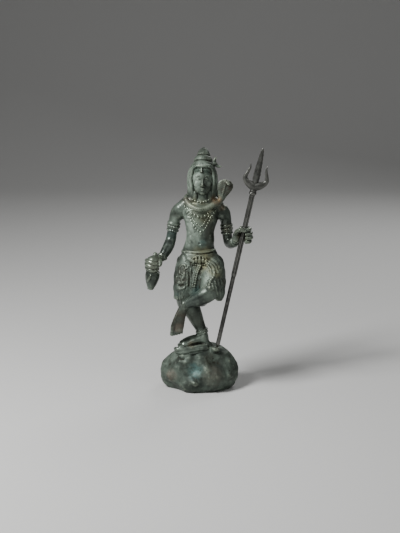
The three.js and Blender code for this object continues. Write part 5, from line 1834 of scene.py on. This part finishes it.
@dataclass
class Cobra:
    """The cobra that lies round the neck and rears its hood at the left shoulder."""

    body: Stations = (
        (12, 12.4, 138, 1.1, 1.1), (9, 11.8, 147, 1.9, 1.9), (0, 9.6, 152, 2.5, 2.5),
        (-9.6, 5, 154.6, 2.8, 2.8), (-14, -2, 153, 2.9, 2.9), (-10.6, -9, 147.4, 3, 3),
        (-2.4, -13, 143.6, 3, 3), (6, -13, 144, 3, 3), (13.4, -10, 147.4, 3, 3),
        (18.4, -6.4, 149.2, 3, 3), (21.2, -4.6, 152.6, 3.4, 3.0), (22.4, -4.6, 156.8, 5.0, 2.4),
        (24.0, -5, 161.6, 7.0, 1.9), (25.8, -5.2, 166.4, 7.9, 1.8), (26.9, -5.1, 169.4, 6.8, 1.7),
        (27.5, -5.0, 171.2, 4.4, 1.5),
    )
    head: Stations = (
        (26.2, -5.4, 170.4, 2.0, 1.6), (27.6, -7.4, 169.6, 2.4, 1.7), (29.4, -9.4, 167.8, 1.8, 1.3),
    )
    voxel: float = 0.32
    scale_pitch: float = 1.9

    def make(self) -> None:
        """Makes the cobra and places it."""
        clay = Clay()
        rows = smooth_stations([[x, y, z + ROCK_TOP, wide, deep] for x, y, z, wide, deep in self.body], 8)
        clay.sweep(rows, sides=28, cap=0.7)
        clay.limb(self.head, UP, 18)
        for side in (-1, 1):
            clay.egg(at(28.0 + side * 1.6, -8.4, 170.2 - side * 0.5), (0.7, 0.7, 0.7), detail=10)
        clay.limb(((22.4, -6.2, 156, 1.2), (24.2, -6.0, 162.4, 1.5), (26.0, -6.0, 168, 1.3)), sides=14)
        skin = Skin(clay.fuse(self.voxel, rounds=3))
        points = skin.points
        line = rows[:, :3]
        lengths = np.concatenate([[0.0], np.cumsum(np.linalg.norm(np.diff(line, axis=0), axis=1))])
        nearest = np.argmin(((points[:, None, :] - line[None]) ** 2).sum(axis=2), axis=1)
        before, after = line[np.maximum(nearest - 1, 0)], line[np.minimum(nearest + 1, len(line) - 1)]
        way = (after - before) / np.linalg.norm(after - before, axis=1)[:, None]
        out = points - line[nearest]
        along = lengths[nearest] + np.einsum("ij,ij->i", out, way)
        across = skin.normals
        turn = np.arctan2(across[:, 2] * way[:, 0] - across[:, 0] * way[:, 2], across[:, 1])
        slant = math.pi * along / self.scale_pitch
        weave = np.abs(np.cos(slant + 3 * turn)) + np.abs(np.cos(slant - 3 * turn)) - 1.2
        hood = ramp(along, lengths[-1] - 17.0, lengths[-1] - 12.0)
        plates = np.abs(np.sin(math.pi * along / 1.7)) ** 0.5 * ramp(-across[:, 1], 0.1, 0.6)
        skin.push(0.13 * weave * (1 - hood) + hood * (0.26 * (plates - 0.6)) + 0.03 * grain(points, 1.2, 13))
        place_piece("cobra", skin.mesh, MATT_BRONZE, Slot.GREEN, CASTING)


@dataclass(frozen=True)
class Fist:
    """A closed fist in its own frame: away from the wrist, towards the viewer, and up."""

    grip: tuple[float, float, float]
    away: int
    reach: float
    wrist: tuple[float, float, float]
    thumb: Stations
    loop: Stations
    forefinger_end: tuple[float, float]
    shifts: tuple[float, ...] = (-1.2, 0.0, 0.5, -0.6)
    pitch: float = 4.1
    radius: float = 2.15
    palm: Stations = ((-5, -4.2, -0.4, 5, 3), (-0.6, -5.6, 0, 6.8, 3), (3.6, -5.2, 0, 7.2, 2.6))
    swell: tuple[float, ...] = (1.0, 1.03, 1.08, 1.0, 0.95, 0.92, 0.88)

    def _spot(self, aside: float, forward: float, height: float) -> Vector:
        """Gives a place of the fist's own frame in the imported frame."""
        return at(*self.grip) + Vector((self.away * self.reach * aside, -forward, height))

    def add(self, clay: Clay) -> None:
        """Presses palm, fingers with their nails, and thumb together.

        Args:
            clay: The clay that takes the forms.
        """
        for i, place in enumerate((1.5, 0.5, -0.5, -1.5)):
            size = self.radius * (0.88 if i == 3 else 1.0)
            loop = [*self.loop, self.forefinger_end] if i == 0 else self.loop
            rows = [
                [*self._spot(aside + self.shifts[i], forward, place * self.pitch), size * swell, size * swell]
                for (aside, forward), swell in zip(loop, self.swell)
            ]
            clay.sweep(smooth_stations(rows, 5), UP, sides=16, cap=0.8)
            tip = Vector(rows[-1][:3])
            nail = tip + Vector((self.away * -0.5, -0.84 * size, 0.0))
            clay.egg(nail, (0.62 * size, 0.32, 0.5 * size), detail=10)
        palm = [[*at(*self.wrist), 3.7, 3.5]]
        palm += [[*self._spot(a, f, h), tall, deep] for a, f, h, tall, deep in self.palm]
        clay.sweep(smooth_stations(palm, 5), sides=20)
        thumb = [[*self._spot(a, f, h), size, size] for a, f, h, size in self.thumb]
        clay.sweep(smooth_stations(thumb, 5), sides=16, cap=0.8)
        tip = Vector(thumb[-1][:3])
        clay.egg(tip + Vector((self.away * 0.6, -1.5, 0.2)), (1.25, 0.4, 1.0), detail=10)


LEFT_FIST = Fist(
    grip=(43, -22, 118.6),
    away=1,
    reach=1.0,
    wrist=(36, -17.6, 112.6),
    thumb=((-6.2, -2.4, 1.2, 2.7), (-6.2, 2, 4, 2.3), (-2.8, 5.4, 6.2, 2.1), (1.6, 6, 5.4, 1.8)),
    loop=((-1, -5.4), (4.4, -5.6), (7.4, -2.4), (7, 2.6), (3.4, 4.8)),
    forefinger_end=(-1.6, 5.6),
)


@dataclass(frozen=True)
class LoweredFist:
    """The right fist, closed round the gourd's neck, with the back of the hand to the upper left."""

    wrist: Stations = (
        (-39.8, -12.6, 92.4, 3.9, 3.7), (-42.6, -13.8, 92.6, 4.6, 4.4), (-46.0, -15.4, 91.6, 5.6, 5.4),
    )
    back: tuple[float, float, float] = (-47.2, -16.2, 89.6)
    back_size: tuple[float, float, float] = (7.4, 6.6, 7.0)
    heel: tuple[float, float, float] = (-46.6, -15.4, 83.6)
    heel_size: tuple[float, float, float] = (5.6, 4.8, 5.0)
    thumb_nail: tuple[float, float, float] = (-40.4, -23.0, 88.2)
    thumb_nail_size: tuple[float, float, float] = (1.2, 0.4, 1.0)
    fingers: tuple[Stations, ...] = (
        (
            (-53.6, -14.6, 91.4, 2.3), (-52.4, -18.6, 91.2, 2.4), (-49.4, -21.4, 90.6, 2.3),
            (-45.4, -22.2, 89.6, 2.2), (-42.0, -20.6, 88.8, 2.0),
        ),
        (
            (-54.0, -14.0, 88.2, 2.3), (-53.0, -18.6, 87.4, 2.3), (-49.8, -21.4, 86.4, 2.3),
            (-45.8, -22.0, 85.8, 2.1), (-42.4, -20.2, 86.2, 1.9),
        ),
        (
            (-53.8, -13.8, 84.6, 2.2), (-52.8, -18.0, 83.6, 2.2), (-49.6, -20.8, 82.4, 2.2),
            (-46.0, -21.2, 82.0, 2.0), (-43.2, -19.4, 82.4, 1.8),
        ),
        (
            (-53.2, -13.6, 81.2, 1.9), (-52.2, -17.2, 80.2, 1.9), (-49.6, -19.8, 79.2, 1.9),
            (-46.8, -20.0, 78.9, 1.7),
        ),
    )
    thumb: Stations = (
        (-41.6, -13.8, 92.6, 3.1), (-40.6, -17.4, 91.0, 2.7), (-40.2, -20.0, 89.2, 2.3),
        (-40.6, -21.4, 87.6, 1.9),
    )

    def add(self, clay: Clay) -> None:
        """Presses the back of the hand, the fingers with their nails and the thumb together.

        Args:
            clay: The clay that takes the forms.
        """
        clay.limb(self.wrist, sides=20)
        clay.egg(at(*self.back), self.back_size, detail=24)
        clay.egg(at(*self.heel), self.heel_size, detail=20)
        for finger in self.fingers:
            clay.limb(finger, UP, 18, per=5)
            x, y, z, size = finger[-1]
            clay.egg(at(x + 0.4, y - 0.8 * size, z), (0.6 * size, 0.4, 0.5 * size), detail=10)
        clay.limb(self.thumb, FRONT, 18, per=5)
        clay.egg(at(*self.thumb_nail), self.thumb_nail_size, detail=10)


@dataclass
class Gourd:
    """The water gourd that hangs from the right fist."""

    foot: tuple[float, float, float] = (-50.2, -15, 61.8)
    lip: tuple[float, float, float] = (-44.8, -14.6, 99.4)
    profile: Stations = (
        (0.0, 2.9), (0.03, 3.4), (0.08, 4.3), (0.17, 5.7), (0.28, 6.9), (0.37, 7.4), (0.45, 7.0),
        (0.53, 5.2), (0.61, 3.4), (0.86, 2.4), (0.93, 2.1), (0.97, 2.3), (1.0, 1.5),
    )

    def add(self, clay: Clay) -> None:
        """Presses the gourd with its foot ring, belt and spout together.

        Args:
            clay: The clay that takes the forms.
        """
        foot, lip = at(*self.foot), at(*self.lip)
        rows = [[*foot.lerp(lip, share), radius, radius] for share, radius in self.profile]
        clay.sweep(smooth_stations(rows, 4), sides=32, cap=0.35)
        for share, radius, thick in ((0.02, 3.1, 0.5), (0.46, 6.8, 0.45)):
            middle = foot.lerp(lip, share)
            ring = [
                middle + Vector((radius * math.cos(turn), radius * math.sin(turn), 0.0))
                for turn in np.linspace(0, math.tau, 37)
            ]
            clay.cord(ring, [thick] * len(ring), UP)
        clay.limb(((-52.6, -19.6, 70.6, 0.9), (-51.2, -21.6, 74.0, 1.6), (-49.6, -21.8, 77.6, 1.0)), sides=12)


@dataclass
class Hands:
    """Both fists, the left one open for the staff, and the gourd."""

    voxel: float = 0.3

    def make(self, staff: Staff) -> None:
        """Makes the hands and places them.

        Args:
            staff: The trident's staff, which the left fist is opened for.
        """
        for name, fist, gourd in (
            ("left_hand", LEFT_FIST, None),
            ("right_hand_with_gourd", LoweredFist(), Gourd()),
        ):
            clay = Clay()
            fist.add(clay)
            if gourd:
                gourd.add(clay)
            skin = Skin(clay.fuse(self.voxel, rounds=2))
            skin.push(0.05 * grain(skin.points, 1.8, 14))
            if not gourd:
                staff.open_round(skin)
            place_piece(name, skin.mesh, GREEN_BRONZE, Slot.GREEN, CASTING)


@dataclass
class Staff:
    """The trident's line, from the socket in the rock to the grip, with its clearance."""

    socket: tuple[float, float, float] = (17.538, -12.0, 44.4)
    grip: tuple[float, float, float] = (43.0, -22.0, 163.6)
    upper: float = 2.7
    clearance: float = 0.3

    @property
    def way(self) -> Vector:
        """The way up the staff."""
        return (Vector(self.grip) - Vector(self.socket)).normalized()

    @property
    def face(self) -> Vector:
        """The way that the trident's flat faces."""
        return (FRONT - self.way * FRONT.dot(self.way)).normalized()

    def place(self, across: float, out: float, up: float) -> Vector:
        """Gives a place on the trident: across it, out of its plane and up it, in millimetres."""
        side = self.way.cross(self.face)
        return Vector(self.socket) + side * across + self.face * out + self.way * up

    def open_round(self, skin: Skin) -> None:
        """Presses a skin away from the staff, so that the staff runs free in it.

        Args:
            skin: The skin, which is reshaped.
        """
        gap = skin.points - np.array(self.socket)
        way = np.array(self.way)
        off = gap - np.outer(gap @ way, way)
        distance = np.linalg.norm(off, axis=1)
        bore = self.upper + self.clearance
        inside = distance < bore
        off[inside] *= (bore / np.maximum(distance[inside], 0.05) - 1.0)[:, None]
        points = skin.points.copy()
        points[inside] += off[inside]
        skin.move(points)


@dataclass
class TridentPiece:
    """The loose trident: fluted upper staff, round lower staff and foot peg, collar, blade and prongs."""

    staff: Staff
    length: float = 222.5
    head: float = 47.0
    peg: float = 9.0
    peg_radius: float = 1.4
    lower_radius: float = 2.2
    lower_length: float = 80.0
    socket_depth: float = 8.0
    half_head: float = 11.0
    voxel: float = 0.32
    flute_depth: float = 0.34
    half_flutes: int = 4
    collar: Stations = (
        (-1.5, 3.0), (-0.9, 3.7), (0.6, 3.8), (1.2, 3.2), (2.6, 3.3), (4.0, 3.0), (6.0, 2.8),
    )
    prong: Stations = (
        (0, 0.13, 2.1), (0.46, 0.18, 2.0), (0.79, 0.23, 1.5), (0.98, 0.3, 1.14), (0.91, 0.389, 0.92),
        (0.77, 0.49, 0.72), (0.73, 0.55, 0.5), (0.76, 0.61, 0.25),
    )
    blade: Stations = (
        (0.06, 3.0, 1.8), (0.22, 3.4, 1.9), (0.34, 3.7, 1.8), (0.45, 3.65, 1.7), (0.6, 3.25, 1.5),
        (0.72, 2.75, 1.25), (0.84, 2.2, 0.95), (0.92, 1.6, 0.7), (0.97, 0.9, 0.4),
    )

    def make(self) -> None:
        """Makes the trident and places it."""
        staff, top = self.staff, self.length - self.peg - self.head
        place, face = staff.place, staff.face
        clay = Clay()

        def shaft(rows: Stations, sides: int = 32, cap: float = 0.1) -> None:
            """Turns a stretch of the staff from rows of height and radius."""
            clay.sweep(
                np.array([[*place(0, 0, up), radius, radius] for up, radius in rows]), face, sides, cap
            )

        foot = self.peg - self.socket_depth + staff.clearance
        shaft(((-self.socket_depth, self.peg_radius), (foot + 1, self.peg_radius)))
        shaft(
            ((foot, self.peg_radius), (foot + 3, self.lower_radius), (self.lower_length, self.lower_radius))
        )
        shaft(
            ((self.lower_length - 2, self.lower_radius), (self.lower_length, staff.upper), (top, staff.upper))
        )
        shaft(tuple((top + up, radius) for up, radius in self.collar))
        blade = [[*place(0, 0, top + share * self.head), wide, deep] for share, wide, deep in self.blade]
        clay.sweep(smooth_stations(blade, 6), face, sides=4, cap=1.0)
        rib = [
            [*place(0.3 * wide, 0, top + share * self.head), 0.5, 0.8 * deep + 0.3]
            for share, wide, deep in self.blade
        ]
        clay.sweep(smooth_stations(rib, 6), face, sides=10, cap=0.5)
        for side in (-1, 1):
            rows = [
                [*place(side * out * self.half_head, 0, top + up * self.head), 2 * size, 1.4 * size]
                for out, up, size in self.prong
            ]
            clay.sweep(smooth_stations(rows, 6), face, sides=14, cap=0.8)
        skin = Skin(clay.fuse(self.voxel, rounds=1))
        gap = skin.points - np.array(staff.socket)
        up = gap @ np.array(staff.way)
        out = gap @ np.array(staff.face)
        across = gap @ np.array(staff.way.cross(staff.face))
        turn = np.arctan2(out, across)
        fluted = ramp(up, self.lower_length + 1, self.lower_length + 3) * ramp(up, top - 2, top - 4)
        flutes = -self.flute_depth * np.abs(np.sin(self.half_flutes * turn)) ** 0.8 * fluted
        skin.push(flutes + 0.04 * grain(skin.points, 2.4, 15) + 0.02 * grain(skin.points, 0.9, 16))
        place_piece("trident_casting", skin.mesh, GREY_BRONZE, Slot.GREY, TRIDENT)


@dataclass(frozen=True)
class BeadString:
    """A string of beads on the chest, by the photograph's pixels."""

    pixels: Stations
    radius: float


@dataclass
class Jewellery:
    """The strings of beads on the neck and chest, and the drops that hang from one of them."""

    choker: BeadString = BeadString(
        ((190.6, 198.6), (194.0, 200.6), (198.6, 202.0), (203.4, 202.0), (207.6, 200.6), (210.8, 198.4)), 1.25
    )
    collar: BeadString = BeadString(
        ((187.6, 206.0), (190.4, 209.6), (195.0, 212.0), (200.6, 212.8), (206.0, 212.0), (210.6, 209.4),
         (213.6, 206.0)), 0.7
    )
    strings: tuple[BeadString, ...] = (
        BeadString(
            (
                (184.2, 203.6), (186.6, 210.6), (189.6, 217.0), (192.2, 222.8), (195.8, 227.8),
                (200.6, 231.6), (204.6, 229.2), (207.4, 224.4), (210.0, 219.4), (212.8, 214.4),
                (216.6, 208.6),
            ),
            1.3,
        ),
        BeadString(
            (
                (187.0, 206.6), (189.6, 213.0), (192.8, 218.8), (196.6, 223.6), (200.6, 226.4),
                (204.0, 223.6), (206.8, 219.0), (209.6, 214.6), (212.6, 210.0),
            ),
            0.95,
        ),
    )
    drops: tuple[tuple[float, float], ...] = (
        (191.6, 213.4), (194.8, 215.2), (198.2, 216.6), (201.6, 216.8), (205.0, 215.8), (208.2, 213.8),
    )

    def make(self, body: bpy.types.Mesh) -> None:
        """Strings the beads on the chest and places them as one piece.

        Args:
            body: The bare body that they lie on.
        """
        surface = Surface(body)
        clay = Clay()
        for string in (self.choker, *self.strings):
            places = surface.line(string.pixels, 0.15 * string.radius, 12)
            clay.cord(
                surface.line(string.pixels, 0.0, 6),
                [0.42 * string.radius] * (6 * (len(string.pixels) - 1) + 1),
            )
            gone = 0.0
            for before, after in zip(places, places[1:]):
                gone += (after - before).length
                if gone >= 2.15 * string.radius:
                    gone = 0.0
                    clay.egg(after, (string.radius,) * 3, detail=12)
        line = surface.line(self.collar.pixels, 0.25, 6)
        clay.cord(line, [self.collar.radius] * len(line))
        for across, down in self.drops:
            top = surface.seen(across, down - 1.3, 0.3)
            clay.cord(
                [top, surface.seen(across, down - 0.4, 0.6), surface.seen(across, down + 0.7, 0.6)],
                [0.55, 1.0, 1.15],
            )
        lowest = surface.seen(200.6, 233.4, 0.6)
        clay.egg(lowest, (1.6, 1.2, 1.9), detail=14)
        mesh = clay.fuse(0.3, rounds=1)
        place_piece("beads", mesh, GREEN_BRONZE, Slot.GREEN, CASTING)


@dataclass(frozen=True)
class Lamp:
    """A square lamp, with its side in metres and its power in watts."""

    name: str
    place: tuple[float, float, float]
    side: float
    power: float


@dataclass
class Studio:
    """A pale floor and soft light."""

    floor_size: float = 8.0
    wall_gap: float = 2.6
    wall_height: float = 4.0
    bend: float = 1.2
    bend_steps: int = 24
    floor_colour: Colour = (0.54, 0.54, 0.53)
    floor_roughness: float = 0.8
    sky: float = 0.55
    sky_strength: float = 0.18
    aim: tuple[float, float, float] = (0.0, 0.0, 0.13)
    lamps: tuple[Lamp, ...] = (
        Lamp("key", (-0.56, -0.42, 0.80), 0.3, 16.5),
        Lamp("fill", (0.9, -0.9, 0.9), 0.8, 3.2),
        Lamp("back", (0.5, 0.9, 0.9), 0.6, 5.0),
    )

    def _hang(self, lamp: Lamp) -> None:
        """Hangs a lamp so that it faces the figure.

        Args:
            lamp: The lamp.
        """
        data = bpy.data.lights.new(lamp.name, "AREA")
        data.shape = "SQUARE"
        data.size = lamp.side
        data.energy = lamp.power
        hung = bpy.data.objects.new(lamp.name, data)
        hung.location = lamp.place
        aim = Vector(self.aim) - hung.location
        hung.rotation_euler = aim.to_track_quat("-Z", "Y").to_euler()
        bpy.context.scene.collection.objects.link(hung)

    def make(self) -> None:
        """Makes the floor that bends up into a wall behind the figure, the world's light and the lamps."""
        form = bmesh.new()
        bmesh.ops.create_grid(form, x_segments=1, y_segments=1, size=self.floor_size)
        far = [corner for corner in form.verts if corner.co.y > 0]
        bmesh.ops.translate(form, verts=far, vec=(0.0, self.wall_gap - self.floor_size, 0.0))
        edge = [each for each in form.edges if all(corner in far for corner in each.verts)]
        made = bmesh.ops.extrude_edge_only(form, edges=edge)["geom"]
        top = [each for each in made if isinstance(each, bmesh.types.BMVert)]
        bmesh.ops.translate(form, verts=top, vec=(0.0, 0.0, self.wall_height))
        bend = [each for each in form.edges if len(each.link_faces) > 1]
        bmesh.ops.bevel(
            form, geom=bend, offset=self.bend, offset_type="OFFSET", segments=self.bend_steps, profile=0.5,
            affect="EDGES", material=-1,
        )
        bmesh.ops.recalc_face_normals(form, faces=form.faces)
        for face in form.faces:
            face.smooth = True
        mesh = bpy.data.meshes.new("floor")
        form.to_mesh(mesh)
        form.free()
        floor = bpy.data.objects.new("floor", mesh)
        bpy.context.scene.collection.objects.link(floor)
        paint = bpy.data.materials.new("pale_floor")
        paint.use_nodes = True
        shader = next(node for node in paint.node_tree.nodes if node.type == "BSDF_PRINCIPLED")
        shader.inputs["Base Color"].default_value = (*self.floor_colour, 1.0)
        shader.inputs["Roughness"].default_value = self.floor_roughness
        mesh.materials.append(paint)
        world = bpy.data.worlds.new("studio")
        bpy.context.scene.world = world
        world.use_nodes = True
        air = next(node for node in world.node_tree.nodes if node.type == "BACKGROUND")
        air.inputs["Color"].default_value = (self.sky, self.sky, self.sky, 1.0)
        air.inputs["Strength"].default_value = self.sky_strength
        for lamp in self.lamps:
            self._hang(lamp)


def main() -> None:
    """Builds every piece in order."""
    logging.basicConfig(level=logging.INFO, format="%(name)s: %(message)s")
    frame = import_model()
    VIEW.make()
    Studio().make()
    Rock().make(frame["nodes"][CASTING])
    skin = Body().make()
    Jewellery().make(skin)
    Skirt().make(skin)
    Head().make()
    Cobra().make()
    staff = Staff()
    Hands().make(staff)
    TridentPiece(staff).make()


if __name__ == "__main__":
    main()
